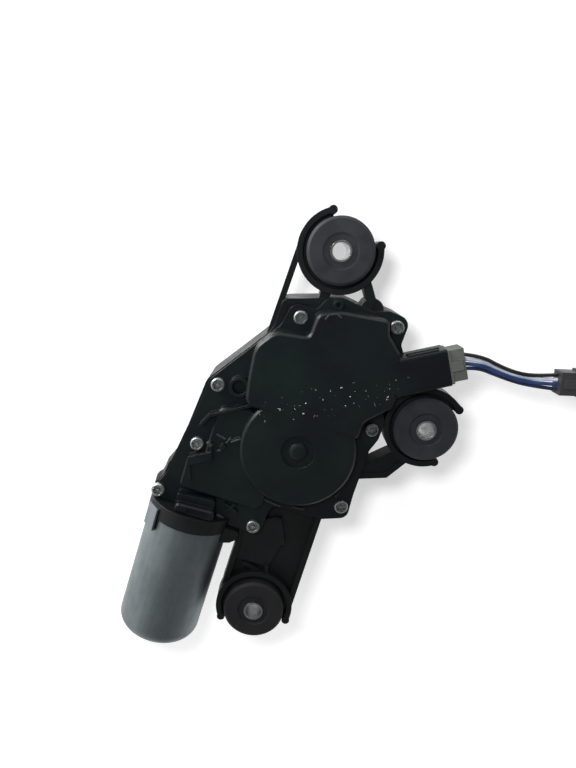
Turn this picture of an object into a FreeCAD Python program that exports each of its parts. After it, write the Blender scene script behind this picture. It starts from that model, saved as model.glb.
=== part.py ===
import FreeCAD
import Part
import math
import os

V = FreeCAD.Vector
X_AXIS = V(1, 0, 0)
Y_AXIS = V(0, 1, 0)
Z_AXIS = V(0, 0, 1)

# Rear wiper motor. Millimetres. The origin is on the output shaft's axis, at the seat of the wiper arm.
# +Z points out of the gear cover, and the output shaft points down along -Z.
# +Y runs along the motor's own axis, from the steel can towards the worm.

# Levels along the output shaft
parting_z = 62.0
housing_depth = 30.0
housing_floor = 3.2
output_boss_length = 12.0
plateau_rise = 14.0
dome_rise = 13.4
dimple_depth = 1.4
dimple_radius = 8.2
dome_radius = 28.4
hub_radius = 7.0
button_radius = 4.6
button_top_radius = 2.8
button_edge = 0.8
button_crown = 0.2
side_deck_rise = 7.2
saddle_rise = 13.0
step_rise = 9.0

# Walls and clearances
housing_wall = 3.0
cover_wall = 2.2
cover_flange = 2.4
cover_bevel = 1.2
small_bevel = 0.8
gasket_thickness = 0.8
gasket_width = 3.2
running_gap = 0.05
free_gap = 0.3
assembly_gap = 0.15

# Cover screws
screw_places = [(-18.5, 61.7), (26.5, 71.2), (-46.9, 18.2), (32.2, 19.7),
                (-48.4, -14.1), (-60.6, -44.0), (31.0, -24.0), (-8.6, -48.6)]
screw_shank_radius = 2.0
screw_head_radius = 3.5
screw_head_height = 2.6
screw_length = 14.0
screw_head_edge = 0.9
screw_boss_radius = 4.6
screw_boss_depth = 18.0

# Motor: steel can, magnets and armature, all round the motor axis
motor_x = -41.8
motor_z = 55.0
can_radius = 21.7
can_wall = 1.5
can_mouth_y = -57.0
can_length = 69.5
can_end_radius = 7.0
neck_radius = 22.6
neck_length = 8.0
neck_bore_radius = 19.0
bulge_radius = 19.2
bulge_length = 20.0
bulge_end_radius = 12.0
bulge_end_length = 36.0
magnet_thickness = 3.8
magnet_rear_space = 14.0
magnet_arc = 130.0
magnet_offset = 17.5
air_gap = 0.7
stack_shortfall = 4.0
stack_slots = 10
slot_width = 2.6
slot_depth = 6.5
slot_mouth = 1.4
tooth_tip = 1.6
winding_radius = 13.5
winding_core_radius = 6.0
winding_length = 6.5
winding_slope = 2.0
winding_foot = 1.2
commutator_radius = 7.0
commutator_length = 11.0
commutator_bars = 10
commutator_overlap = 0.4
bar_gap_width = 0.6
bar_gap_depth = 0.8
brush_size = 5.0
brush_length = 6.0
brush_travel = 3.6
brush_guide_wall = 1.2
spring_radius = 1.9
spring_bore_radius = 1.2
brush_card_thickness = 2.4
shaft_radius = 3.0
rear_bush_radius = 6.5
rear_bush_length = 5.5
rear_holder_inset = 3.0
rear_holder_thickness = 1.2
front_bush_radius = 6.0
front_bush_length = 6.0
tip_radius = 2.4
tip_length = 6.0
tip_bush_radius = 5.0
thrust_pad_thickness = 2.0
tip_support_wall = 2.6
clip_angles = (142.0, 262.0)
clip_width = 9.0
clip_sheet = 1.0
clip_grip = 6.5
clip_hold = 5.5

# Worm and worm wheel
worm_module = 0.8
worm_pitch_radius = 3.8
worm_length = 18.0
wheel_teeth = 40
wheel_thickness = 6.0
wheel_web_thickness = 3.0
worm_play = 0.28
worm_room_radius = 6.4
worm_tube_radius = 11.0
worm_tube_end_y = 19.0
shaft_run_out = 5.0
worm_relief = 2.0

# Pinion and output gear
gear_module = 1.0
pinion_teeth = 16
output_teeth = 48
gear_thickness = 6.0
gear_play = 0.14
gear_level = 60.6
gear_hub_radius = 9.0
gear_web_thickness = 3.0
gear_spokes = 6
spoke_width = 1.6
spoke_turn = 15.0
rim_thickness = 2.3
idler_hub_radius = 6.5
idler_axle_radius = 2.5
idler_axle_sink = 10.0
idler_boss_radius = 6.0

# Output shaft
output_radius = 6.0
gear_seat_radius = 5.0
gear_seat_flat = 4.2
journal_radius = 4.0
journal_length = 3.6
cone_length = 8.0
cone_small_radius = 4.6
cone_large_radius = 5.5
serrations = 24
serration_depth = 0.35
stud_radius = 4.0
stud_length = 7.0
output_boss_radius = 11.0
inner_boss_radius = 9.6
output_bush_radius = 8.0
output_bush_length = 8.0
bush_drop = 2.6
boss_bore_gap = 0.4
seal_height = 3.0
washer_radius = 9.0
washer_thickness = 0.6
clip_radius = 8.4
clip_thickness = 1.2
clip_groove_depth = 0.7
clip_opening = 4.4
notch_width = 1.8

# Mounting points: a rubber grommet and a steel sleeve each, held in an open cup
mount_places = {"upper": (-10.4, 96.8), "side": (57.6, 28.0), "lower": (5.7, -94.6)}
mount_open_at = {"upper": 72.0, "side": -4.0, "lower": 284.0}
mount_open_span = {"upper": 94.0, "side": 101.0, "lower": 134.0}
grommet_top = 68.0
grommet_height = 20.0
grommet_radius = 16.0
grommet_edge = 1.3
grommet_step_radius = 8.6
grommet_step_height = 0.8
waist_radius = 9.2
sleeve_radius = 5.0
sleeve_bore_radius = 4.1
sleeve_proud = 0.6
cup_radius = 20.5
cup_wall = 2.8
cup_height = 12.0
cup_plate = 3.0
cup_end_radius = 2.1

# Arms that carry the cups: roots and elbows as places, ends as angles round the cup's centre
arm_top = 61.0
arm_height = 12.0
rib_width = 3.0
web_thickness = 3.0
upper_left_root = (-30.4, 46.0)
upper_left_angle = 192.0
upper_middle_root = (-10.2, 66.0)
upper_middle_angle = 269.0
upper_middle_width = 5.0
upper_right_root = (10.4, 71.0)
upper_right_elbow = (11.6, 79.4)
upper_right_angle = 330.0
upper_right_width = 4.4
side_web_rise = 3.0
side_outer_root = (28.0, -10.2)
side_outer_elbow = (48.4, -2.7)
side_outer_angle = 264.0
side_inner_root = (35.0, -3.8)
side_inner_angle = 246.0
side_short_root = (33.0, 30.0)
side_short_angle = 172.0
side_short_width = 9.0
lower_web_rise = 5.6
lower_left_angle = 166.0
lower_right_angle = 14.0
lower_elbow_y = -64.0
lower_shoulder = (-15.6, -50.0)
lower_right_root = (23.2, -32.0)
lower_pad = [(-13.2, -52.0), (3.6, -42.0), (9.6, -57.0), (6.6, -72.0), (-12.4, -72.0)]
lower_pad_rise = 2.6
lower_ridge = [(3.6, -43.0), (9.9, -57.2)]
lower_ledge = [(-7.2, -73.2), (3.0, -75.6)]
lower_fleck = [(5.6, -70.5), (6.6, -75.6)]
lower_cross_places = (-46.0, -56.0, -66.0)
lower_cross_width = 2.0

# Connector socket on the cover, and the plug in it
socket_root = (36.6, 51.3)
socket_angle = 30.0
socket_length = 20.8
socket_width = 18.0
socket_height = 15.5
socket_wall = 1.5
socket_root_sink = 6.0
socket_rounding = 1.6
socket_back_wall = 1.0
plug_depth = 13.0
plug_reach = 8.0
plug_head_width = 15.4
plug_collar = 1.4
plug_latch_width = 5.0
plug_latch_height = 1.6
plug_groove = 0.8
plug_head_height = 11.0
pin_count = 4
pin_pitch = 3.0
pin_width = 1.5
pin_thickness = 0.8
pin_length = 22.0
pin_root = 10.0

# Circuit board under the high part of the cover
board_thickness = 1.6
board_drop = 4.6
board_inset = 1.6
board_front = 29.5
board_posts = [(-22.0, 36.0), (-20.0, 49.5), (22.0, 36.0), (16.0, 62.0)]
board_post_radius = 2.4
relay_place = (-12.0, 34.0)
relay_size = (15.0, 13.0, 14.0)
capacitor_place = (14.0, 42.0)
capacitor_radius = 5.2
capacitor_height = 16.0
choke_places = [(2.0, 57.0), (10.5, 57.0)]
choke_radius = 3.2
choke_height = 12.0

# Harness stub
wire_radius = 0.95
end_connector_length = 24.0
end_connector_width = 11.4
end_connector_height = 9.0
end_step_start = 9.0
end_step_out = 0.8
end_step_up = 0.6
end_lock_start = 2.0
end_lock_length = 12.0
end_lock_width = 4.4
end_lock_height = 1.5
end_wall = 0.7
end_mouth_depth = 9.0
wire_names = ["wire_black", "wire_white", "wire_blue", "wire_dark_blue"]
wire_route = [(69.4, 68.0, 68.0), (80.6, 66.5, 66.6), (91.2, 66.0, 65.6), (101.0, 67.4, 64.9),
              (110.4, 70.0, 64.6)]
wire_spread = [2.4, 2.3, 2.15, 2.2, 2.3, 2.4]
wire_end_direction = (0.964, 0.266)

# Outline of the cover's flange as (x, y, corner radius), with a lobe round each screw
body_corners = [
    (-66.2, -49.0, 5.0), (-4.0, -53.6, 4.8), (-3.2, -34.5, 5.0), (23.5, -34.5, 3.0), (36.2, -29.6, 4.8),
    (35.2, -16.5, 4.0), (35.0, 8.6, 5.0), (37.4, 15.4, 4.0), (37.4, 25.0, 4.6), (33.5, 31.0, 3.0),
    (36.5, 40.0, 4.0), (36.5, 57.0, 4.0), (31.6, 64.0, 3.0), (31.8, 76.6, 5.0), (21.0, 77.6, 3.0),
    (13.5, 74.8, 4.0), (-1.0, 76.6, 5.0), (-9.5, 74.0, 4.0), (-12.5, 67.4, 3.0), (-24.2, 67.4, 5.0),
    (-26.5, 55.5, 8.0), (-51.6, 19.5, 5.0), (-54.8, -6.7, 40.0), (-59.2, -35.0, 20.0)]
# The housing's rim steps out past the cover along the upper left
housing_left_corners = [(-29.2, 67.4, 4.0), (-29.4, 52.0, 12.0), (-53.2, 18.2, 8.0), (-55.6, -6.7, 40.0),
                        (-59.8, -35.0, 20.0)]
# Raised parts of the cover
plateau_corners = [
    (-31.5, 15.0, 5.0), (25.4, 15.0, 2.0), (25.4, 24.0, 5.0), (36.0, 35.0, 4.0), (35.2, 53.0, 5.0),
    (30.2, 61.0, 3.0), (22.8, 67.4, 3.0), (20.6, 74.0, 2.5), (-1.5, 71.2, 4.0), (-12.0, 67.0, 4.0),
    (-12.6, 55.4, 3.0), (-28.6, 52.8, 9.0), (-35.4, 43.0, 12.0), (-33.8, 28.0, 10.0)]
deck_corners = [
    (-51.0, -38.0, 3.0), (-8.0, -38.0, 4.0), (-8.0, 6.0, 2.0), (-29.0, 12.0, 4.0), (-43.0, 8.0, 4.0),
    (-43.4, -8.0, 3.0), (-43.4, -20.5, 2.0), (-51.0, -20.5, 3.0)]
saddle_corners = [(-50.0, -48.9, 2.0), (-29.5, -48.9, 2.0), (-29.5, -43.4, 2.0), (-49.5, -44.2, 2.0)]
saddle_window = (-43.2, -32.2, -48.0, -45.0)
saddle_window_depth = 0.8
step_corners = [(-50.5, -47.0, 1.5), (-30.4, -47.0, 1.5), (-31.0, -39.2, 1.5), (-50.5, -40.6, 1.5)]
bar_corners = [(-50.2, -25.4, 0), (-38.7, -18.8, 0), (-40.4, -14.5, 0), (-50.6, -20.5, 0)]
# Thin ridges on the cover, each from one place to another, with its width and its rise over the parting
cover_ridges = [((-49.4, -3.6), (-46.2, 3.0), 1.6, 8.4), ((-46.2, 3.0), (-25.0, 16.2), 1.6, 8.4),
                ((-49.2, -24.2), (-46.1, -32.6), 1.0, 8.2), ((-42.1, -9.3), (-38.9, -18.2), 1.0, 8.6),
                ((-32.7, -6.3), (-28.4, -3.3), 1.6, 8.6), ((-26.1, -40.6), (-18.6, -43.6), 1.4, 5.4),
                ((-24.2, -44.6), (-20.8, -39.0), 1.4, 5.4)]
lid_boss_place = (-36.6, 21.0)
lid_boss_radius = 5.0
lid_boss_bore = 3.4
lid_boss_height = 5.0
pin_boss_place = (-3.6, 73.0)
pin_boss_radius = 2.4
pin_boss_bore = 1.1
pin_boss_height = 4.4
knob_place = (-35.5, -10.5)
knob_radius = 1.6
knob_rise = 9.0
# Lobe of the housing beside the can's mouth, and the lug behind the upper arm
shoulder_corners = [(-26.0, -54.4, 0), (-15.6, -54.4, 0), (-14.4, -55.6, 0), (-14.9, -59.0, 0),
                    (-17.6, -61.6, 0), (-21.0, -62.6, 0), (-26.0, -62.6, 0)]
shoulder_height = 17.0
shoulder_top = 66.0
lug_place = (13.6, 75.4)
lug_radius = 5.4
lug_height = 18.0



# Places worked out from the sizes above
cover_bottom = parting_z + gasket_thickness
flange_top = cover_bottom + cover_flange
housing_bottom = parting_z - housing_depth
floor_top = housing_bottom + housing_floor
boss_bottom = housing_bottom - output_boss_length
plateau_top = parting_z + plateau_rise
dome_top = parting_z + dome_rise
deck_top = parting_z + side_deck_rise
saddle_top = parting_z + saddle_rise
step_top = parting_z + step_rise
magnet_length = can_length - magnet_offset - magnet_rear_space
stack_length = magnet_length - stack_shortfall
housing_corners = body_corners[:18] + housing_left_corners
neck_end_y = can_mouth_y + neck_length
wheel_pitch_radius = worm_module * wheel_teeth / 2
pinion_radius = gear_module * pinion_teeth / 2
output_gear_radius = gear_module * output_teeth / 2
idler_x = motor_x + worm_pitch_radius + wheel_pitch_radius
idler_y = -math.sqrt((pinion_radius + output_gear_radius) ** 2 - idler_x ** 2)
wheel_bottom = motor_z - wheel_thickness / 2
wheel_top = motor_z + wheel_thickness / 2
worm_start_y = idler_y - worm_length / 2
worm_end_y = idler_y + worm_length / 2
shaft_tip_y = worm_end_y + shaft_run_out + tip_length
bush_top = gear_level - bush_drop
gear_top = gear_level + gear_thickness
board_level = plateau_top - cover_wall - board_drop
board_top = board_level + board_thickness
plate_bottom = grommet_top - grommet_height / 2 - cup_plate / 2
arm_bottom = arm_top - arm_height


def cylinder(x, y, bottom, top, radius):
    """An upright cylinder."""
    return Part.makeCylinder(radius, top - bottom, V(x, y, bottom), Z_AXIS)


def ring(x, y, bottom, top, outer, inner):
    """An upright tube."""
    return cylinder(x, y, bottom, top, outer).cut(cylinder(x, y, bottom - 1, top + 1, inner))


def motor_cylinder(start_y, end_y, radius):
    """A cylinder on the motor's axis."""
    return Part.makeCylinder(radius, end_y - start_y, V(motor_x, start_y, motor_z), Y_AXIS)


def motor_ring(start_y, end_y, outer, inner):
    """A tube on the motor's axis."""
    return motor_cylinder(start_y, end_y, outer).cut(motor_cylinder(start_y - 1, end_y + 1, inner))


def rounded_wire(corners, z=0.0):
    """A closed outline at height z, with each corner (x, y, radius) rounded by a tangent arc."""
    edges = []
    ends = []
    count = len(corners)
    for i in range(count):
        x, y, radius = corners[i]
        here = V(x, y, z)
        before = V(corners[i - 1][0], corners[i - 1][1], z) - here
        after = V(corners[(i + 1) % count][0], corners[(i + 1) % count][1], z) - here
        before.normalize()
        after.normalize()
        half = before.getAngle(after) / 2
        if radius <= 0 or half > math.pi / 2 - 0.01:
            ends.append((here, here, None))
            continue
        reach = radius / math.tan(half)
        bisector = before + after
        bisector.normalize()
        middle = here + bisector * (radius / math.sin(half) - radius)
        ends.append((here + before * reach, here + after * reach, middle))
    for i in range(count):
        start, end, middle = ends[i]
        if middle is not None:
            edges.append(Part.Arc(start, middle, end).toShape())
        next_start = ends[(i + 1) % count][0]
        if (next_start - end).Length > 1e-6:
            edges.append(Part.LineSegment(end, next_start).toShape())
    return Part.Wire(edges)


def slab(corners, bottom, top, inset=0.0):
    """A flat plate with a rounded outline, from one level to another, drawn in by an inset."""
    wire = rounded_wire(corners, bottom)
    if inset:
        wire = wire.makeOffset2D(-inset)
    return Part.Face(wire).extrude(V(0, 0, top - bottom))


def block(x0, x1, y0, y1, z0, z1):
    """A box between two corners."""
    return Part.makeBox(x1 - x0, y1 - y0, z1 - z0, V(x0, y0, z0))


def turned(profile, place=V(0, 0, 0), axis="z"):
    """A solid of revolution. The profile is a list of (radius, height) along the axis."""
    points = [V(r, 0, h) for r, h in profile]
    face = Part.Face(Part.makePolygon(points + points[:1]))
    solid = face.revolve(V(0, 0, 0), Z_AXIS, 360)
    if axis == "y":
        solid.rotate(V(0, 0, 0), X_AXIS, -90)
    solid.translate(place)
    return solid


def fused(shapes):
    """One solid from several that touch or overlap."""
    whole = shapes[0]
    if len(shapes) > 1:
        whole = whole.fuse(shapes[1:])
    whole = whole.removeSplitter()
    if len(whole.Solids) == 1:
        return whole.Solids[0]
    return whole


def in_socket_frame(shape):
    """Moves a shape drawn along +X from the origin to the root of the connector socket."""
    shape.rotate(V(0, 0, 0), Z_AXIS, socket_angle)
    shape.translate(V(socket_root[0], socket_root[1], 0))
    return shape


def gear_outline(teeth, module, play, phase):
    """A gear's outline: four points to a tooth, with straight flanks thinned by the play on each side.

    phase is the angle in degrees at which the middle of a tooth stands."""
    pitch = module * teeth / 2
    tip = pitch + 0.9 * module
    root = pitch - 1.2 * module
    half_pitch = math.pi * module / 4 - play
    slope = math.tan(math.radians(20))
    tip_half = (half_pitch - 0.9 * module * slope) / tip
    root_half = (half_pitch + 1.2 * module * slope) / root
    points = []
    for i in range(teeth):
        middle = math.radians(phase) + 2 * math.pi * i / teeth
        for radius, shift in ((root, -root_half), (tip, -tip_half), (tip, tip_half), (root, root_half)):
            points.append((radius * math.cos(middle + shift), radius * math.sin(middle + shift)))
    return points


def gear_solid(x, y, bottom, top, outline):
    """A toothed disc from its outline."""
    points = [V(x + px, y + py, bottom) for px, py in outline]
    return Part.Face(Part.makePolygon(points + points[:1])).extrude(V(0, 0, top - bottom))


def save(name, shape):
    """Writes one named piece."""
    shape.exportStep("parts/" + name + ".step")


def screw_columns(bottom, top, radius):
    """An upright cylinder at every cover screw."""
    return [cylinder(x, y, bottom, top, radius) for x, y in screw_places]


def cup(name):
    """An open ring for a grommet: a wall with a gap and round ends, and a slotted plate."""
    x, y = mount_places[name]
    middle = plate_bottom + cup_plate / 2
    low = middle - cup_height / 2
    high = middle + cup_height / 2
    wall = ring(x, y, low, high, cup_radius, cup_radius - cup_wall)
    plate = cylinder(x, y, plate_bottom, plate_bottom + cup_plate, cup_radius - cup_wall / 2)
    reach = 2 * cup_radius
    half = math.radians(mount_open_span[name] / 2)
    points = [V(0, 0, 0), V(reach, -reach * math.tan(half), 0), V(reach, reach * math.tan(half), 0)]
    wedge = Part.Face(Part.makePolygon(points + points[:1])).extrude(V(0, 0, 2 * cup_height))
    wedge.rotate(V(0, 0, 0), Z_AXIS, mount_open_at[name])
    wedge.translate(V(x, y, middle - cup_height))
    slot = block(0, reach, -waist_radius, waist_radius, -cup_height, cup_height)
    slot = slot.fuse(Part.makeCylinder(waist_radius, 2 * cup_height, V(0, 0, -cup_height), Z_AXIS))
    slot.rotate(V(0, 0, 0), Z_AXIS, mount_open_at[name])
    slot.translate(V(x, y, middle))
    pieces = [wall.cut(wedge), plate.cut([slot, wedge])]
    for side in (-0.5, 0.5):
        end_x, end_y = on_cup(name, mount_open_at[name] + side * mount_open_span[name])
        pieces.append(cylinder(end_x, end_y, low, high, cup_end_radius))
    return pieces


def cup_hollow(name):
    """The space that a cup keeps clear for its grommet."""
    x, y = mount_places[name]
    return cylinder(x, y, housing_bottom, plateau_top, cup_radius - cup_wall / 2)


def rib(start, end, bottom, top, width=rib_width):
    """A straight upright rib between two places."""
    length = math.hypot(end[0] - start[0], end[1] - start[1])
    angle = math.degrees(math.atan2(end[1] - start[1], end[0] - start[0]))
    bar = Part.makeBox(length, width, top - bottom, V(0, -width / 2, 0))
    bar.rotate(V(0, 0, 0), Z_AXIS, angle)
    bar.translate(V(start[0], start[1], bottom))
    return bar


def bent_rib(start, elbow, end, bottom, top, width=rib_width):
    """Two straight ribs with a round elbow between them."""
    return [rib(start, elbow, bottom, top, width), rib(elbow, end, bottom, top, width),
            cylinder(elbow[0], elbow[1], bottom, top, width / 2)]


def on_cup(name, angle):
    """The middle of a cup's wall, at an angle in degrees round its centre."""
    x, y = mount_places[name]
    radius = cup_radius - cup_wall / 2
    return x + radius * math.cos(math.radians(angle)), y + radius * math.sin(math.radians(angle))


def upper_arm():
    """Three struts up to the upper cup."""
    left_end = on_cup("upper", upper_left_angle)
    middle_end = on_cup("upper", upper_middle_angle)
    right_end = on_cup("upper", upper_right_angle)
    left = rib(upper_left_root, left_end, arm_bottom, arm_top)
    middle = rib(upper_middle_root, middle_end, arm_bottom, arm_top, upper_middle_width)
    right = bent_rib(upper_right_root, upper_right_elbow, right_end, arm_bottom, arm_top, upper_right_width)
    return [left, middle] + right


def side_arm():
    """A short strut and a long forked one out to the side cup."""
    outer_end = on_cup("side", side_outer_angle)
    inner_end = on_cup("side", side_inner_angle)
    web_bottom = arm_bottom + side_web_rise
    outline = [side_outer_root, side_outer_elbow, outer_end, inner_end, side_inner_root]
    web = slab([(x, y, 0) for x, y in outline], web_bottom, web_bottom + web_thickness)
    outer = bent_rib(side_outer_root, side_outer_elbow, outer_end, arm_bottom, arm_top)
    inner = rib(side_inner_root, inner_end, arm_bottom, arm_top)
    short = rib(side_short_root, on_cup("side", side_short_angle), arm_bottom, arm_top, side_short_width)
    return [web, inner, short] + outer


def lower_arm():
    """A wide beam down to the lower cup: a web between two walls, ribbed underneath."""
    left_end = on_cup("lower", lower_left_angle)
    right_end = on_cup("lower", lower_right_angle)
    left_elbow = (left_end[0], lower_elbow_y)
    web_bottom = arm_bottom + lower_web_rise
    web_top = web_bottom + web_thickness
    shoulder_root = (lower_shoulder[0], lower_right_root[1])
    outline = [left_end, left_elbow, lower_shoulder, shoulder_root, lower_right_root, right_end]
    web = slab([(x, y, 0) for x, y in outline], web_bottom, web_top)
    left = bent_rib(lower_shoulder, left_elbow, left_end, arm_bottom, arm_top)
    right = rib(lower_right_root, right_end, arm_bottom, arm_top)
    pad = slab([(x, y, 1.5) for x, y in lower_pad], web_bottom, web_top + lower_pad_rise)
    ridge = rib(lower_ridge[0], lower_ridge[1], web_bottom, arm_top)
    ledge = rib(lower_ledge[0], lower_ledge[1], web_bottom, arm_top, lower_cross_width)
    fleck = rib(lower_fleck[0], lower_fleck[1], web_bottom, arm_top + 1.0, lower_cross_width)
    crosses = [rib((left_end[0], y), (right_end[0], y), arm_bottom, web_bottom + 1.0, lower_cross_width)
               for y in lower_cross_places]
    return [web, right, pad, ridge, ledge, fleck] + left + crosses


def gear_housing():
    """The casting: a deep tray with the motor neck, shaft boss and the three arms."""
    tray = slab(housing_corners, housing_bottom, parting_z)
    cover_side = block(-90, 60, neck_end_y, 90, parting_z, plateau_top + 9)
    neck = motor_cylinder(can_mouth_y, neck_end_y + neck_length, neck_radius)
    boss = cylinder(0, 0, boss_bottom, housing_bottom + 1, output_boss_radius)
    tube = motor_cylinder(neck_end_y, worm_tube_end_y, worm_tube_radius)
    profile = [(0, 0), (neck_radius - 1.0, 0), (bulge_radius, bulge_length),
               (bulge_end_radius, bulge_end_length), (0, bulge_end_length)]
    bulge = turned(profile, V(motor_x, neck_end_y - 1.0, motor_z), "y")
    runs = [piece.cut(cover_side) for piece in (neck, tube, bulge)]
    shoulder = slab(shoulder_corners, shoulder_top - shoulder_height, shoulder_top)
    shoulder = shoulder.cut(motor_cylinder(can_mouth_y - clip_grip - 1, can_mouth_y, can_radius + free_gap))
    lug = cylinder(lug_place[0], lug_place[1], arm_top - lug_height, arm_top - 1.0, lug_radius)
    arms = upper_arm() + side_arm() + lower_arm()
    hollow_cups = [cup_hollow(name) for name in mount_places]
    arms = [piece.cut(hollow_cups) for piece in arms]
    cups = []
    for name in mount_places:
        cups += cup(name)
    outside = tray.fuse(runs + [boss, shoulder, lug] + arms + cups)

    cavity = slab(housing_corners, floor_top, parting_z + 1, housing_wall)
    motor_end = block(-90, 60, -70, neck_end_y + front_bush_length - 1.0, housing_bottom, parting_z + 2)
    cavity = cavity.cut(motor_end)
    cavity = cavity.cut(screw_columns(housing_bottom, parting_z + 2, screw_boss_radius))
    solid = outside.cut(cavity)

    inner_boss = cylinder(0, 0, floor_top - 0.5, bush_top, inner_boss_radius)
    idler_boss = cylinder(idler_x, idler_y, floor_top - 0.5, wheel_bottom - free_gap, idler_boss_radius)
    support_half = tip_bush_radius + tip_support_wall
    support_start = shaft_tip_y - tip_length + 1.0
    support_end = shaft_tip_y + thrust_pad_thickness + tip_support_wall
    support = block(motor_x - support_half, motor_x + support_half, support_start, support_end,
                    floor_top - 0.5, motor_z + tip_bush_radius + 0.6)
    solid = solid.fuse([inner_boss, idler_boss, support])

    lower_bush_top = boss_bottom + seal_height + output_bush_length
    axle_bottom = wheel_bottom - idler_axle_sink
    bores = screw_columns(flange_top - screw_length - 1.0, parting_z + 1, screw_shank_radius)
    bores.append(cylinder(0, 0, boss_bottom - 1, gear_level, output_radius + boss_bore_gap))
    bores.append(cylinder(0, 0, boss_bottom - 1, lower_bush_top, output_bush_radius))
    bores.append(cylinder(0, 0, bush_top - output_bush_length, gear_level, output_bush_radius))
    bores.append(cylinder(idler_x, idler_y, axle_bottom, wheel_bottom, idler_axle_radius))
    bores.append(motor_cylinder(can_mouth_y - 1, neck_end_y - 1.0, neck_bore_radius))
    bores.append(motor_cylinder(neck_end_y - 2.0, neck_end_y + front_bush_length, front_bush_radius))
    bores.append(motor_cylinder(support_start - 1, shaft_tip_y + thrust_pad_thickness, tip_bush_radius))
    bores.append(motor_cylinder(neck_end_y + front_bush_length - 2.0, support_start, worm_room_radius))
    return solid.cut(bores)




def raised_parts(inset, drop):
    """The high parts of the cover: upper plateau, round dome and side deck."""
    bottom = cover_bottom - 1.0 if drop else flange_top - 0.5
    return [slab(plateau_corners, bottom, plateau_top - drop, inset),
            cylinder(0, 0, bottom, dome_top - drop, dome_radius - inset),
            slab(deck_corners, bottom, deck_top - drop, inset)]


def bevelled(shape, top, size):
    """Bevels the outer edges of a flat top."""
    edges = []
    for face in shape.Faces:
        if abs(face.CenterOfMass.z - top) < 1e-4 and abs(face.normalAt(0, 0).z) > 0.99:
            edges += face.OuterWire.Edges
    return shape.makeChamfer(size, edges)


def connector_pins():
    """Flat blades from the top of the circuit board out into the socket."""
    pins = []
    for i in range(pin_count):
        side = (i - (pin_count - 1) / 2) * pin_pitch - pin_width / 2
        pin = Part.makeBox(pin_length, pin_width, pin_thickness, V(-pin_root, side, board_top))
        pins.append(in_socket_frame(pin))
    return pins


def gear_cover(pins):
    """The moulded lid with its plateau, dome, side deck and connector socket."""
    flange = slab(body_corners, cover_bottom, flange_top)
    plateau, dome, deck = raised_parts(0, 0)
    plateau = bevelled(plateau, plateau_top, cover_bevel)
    dome = bevelled(dome, dome_top, cover_bevel)
    deck = bevelled(deck, deck_top, small_bevel)
    saddle = bevelled(slab(saddle_corners, flange_top - 0.5, saddle_top), saddle_top, small_bevel)
    step = slab(step_corners, flange_top - 0.5, step_top)
    bar = slab(bar_corners, flange_top - 0.5, step_top)
    ridges = [rib(start, end, flange_top - 0.5, parting_z + rise, width)
              for start, end, width, rise in cover_ridges]
    lid_x, lid_y = lid_boss_place
    pin_x, pin_y = pin_boss_place
    knob_x, knob_y = knob_place
    lid_boss = cylinder(lid_x, lid_y, flange_top - 0.5, flange_top + lid_boss_height, lid_boss_radius)
    pin_boss = cylinder(pin_x, pin_y, flange_top - 0.5, flange_top + pin_boss_height, pin_boss_radius)
    knob = cylinder(knob_x, knob_y, flange_top - 0.5, parting_z + knob_rise, knob_radius)
    socket_bottom = plateau_top - socket_height
    half = socket_width / 2
    socket = block(-socket_root_sink, socket_length, -half, half, socket_bottom, plateau_top)
    long_edges = [edge for edge in socket.Edges if abs(edge.tangentAt(edge.FirstParameter).x) > 0.99]
    socket = in_socket_frame(socket.makeFillet(socket_rounding, long_edges))
    socket = socket.cut(slab(housing_corners, socket_bottom - 1, cover_bottom, -assembly_gap))
    raised = [plateau, dome, deck, saddle, step, bar, socket, lid_boss, pin_boss, knob]
    outside = flange.fuse(raised + ridges)

    inside = raised_parts(cover_wall, cover_wall)
    hollow = block(socket_length - plug_depth - socket_back_wall, 2 * socket_length, socket_wall - half,
                   half - socket_wall, socket_bottom + socket_wall, plateau_top - socket_wall)
    cuts = inside + [in_socket_frame(hollow)]
    cuts.append(cylinder(lid_x, lid_y, flange_top + 1.0, plateau_top, lid_boss_bore))
    cuts.append(cylinder(pin_x, pin_y, flange_top + 1.0, plateau_top, pin_boss_bore))
    left, right, near, far = saddle_window
    cuts.append(block(left, right, near, far, saddle_top - saddle_window_depth, saddle_top + 1))
    cuts.append(neck_space())
    cuts += screw_columns(cover_bottom - 1, flange_top + 1, screw_shank_radius + assembly_gap)
    cuts.append(cylinder(0, 0, dome_top - dimple_depth, dome_top + 1, dimple_radius))
    body = outside.cut(cuts)
    hub_top = dome_top - cover_wall
    hub = cylinder(0, 0, gear_top + free_gap, hub_top + 0.5, hub_radius)
    button = turned([(0, hub_top), (button_radius, hub_top), (button_radius, dome_top - button_edge),
                     (button_top_radius, dome_top - button_crown), (0, dome_top)])
    bore_top = gear_top + journal_length + 2 * free_gap
    journal_bore = cylinder(0, 0, gear_top - 1, bore_top, journal_radius + running_gap)
    post_top = plateau_top - cover_wall + 0.5
    posts = [cylinder(x, y, board_top, post_top, board_post_radius) for x, y in board_posts]
    body = body.fuse([hub, button] + posts)
    return body.cut([journal_bore] + pins)


def neck_space():
    """The room that the cover and its gasket leave for the motor neck."""
    return motor_cylinder(can_mouth_y - 1, neck_end_y + assembly_gap, neck_radius + assembly_gap)


def cover_gasket():
    """A flat seal round the rim, under the flange."""
    outer = slab(body_corners, parting_z, cover_bottom, 0.4)
    inner = slab(body_corners, parting_z - 1, cover_bottom + 1, 0.4 + gasket_width)
    lands = screw_columns(parting_z, cover_bottom, screw_boss_radius)
    frame = outer.cut(inner)
    frame = frame.fuse([land.common(outer) for land in lands])
    frame = frame.cut(neck_space())
    return frame.cut(screw_columns(parting_z - 1, cover_bottom + 1, screw_shank_radius + assembly_gap))


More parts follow.
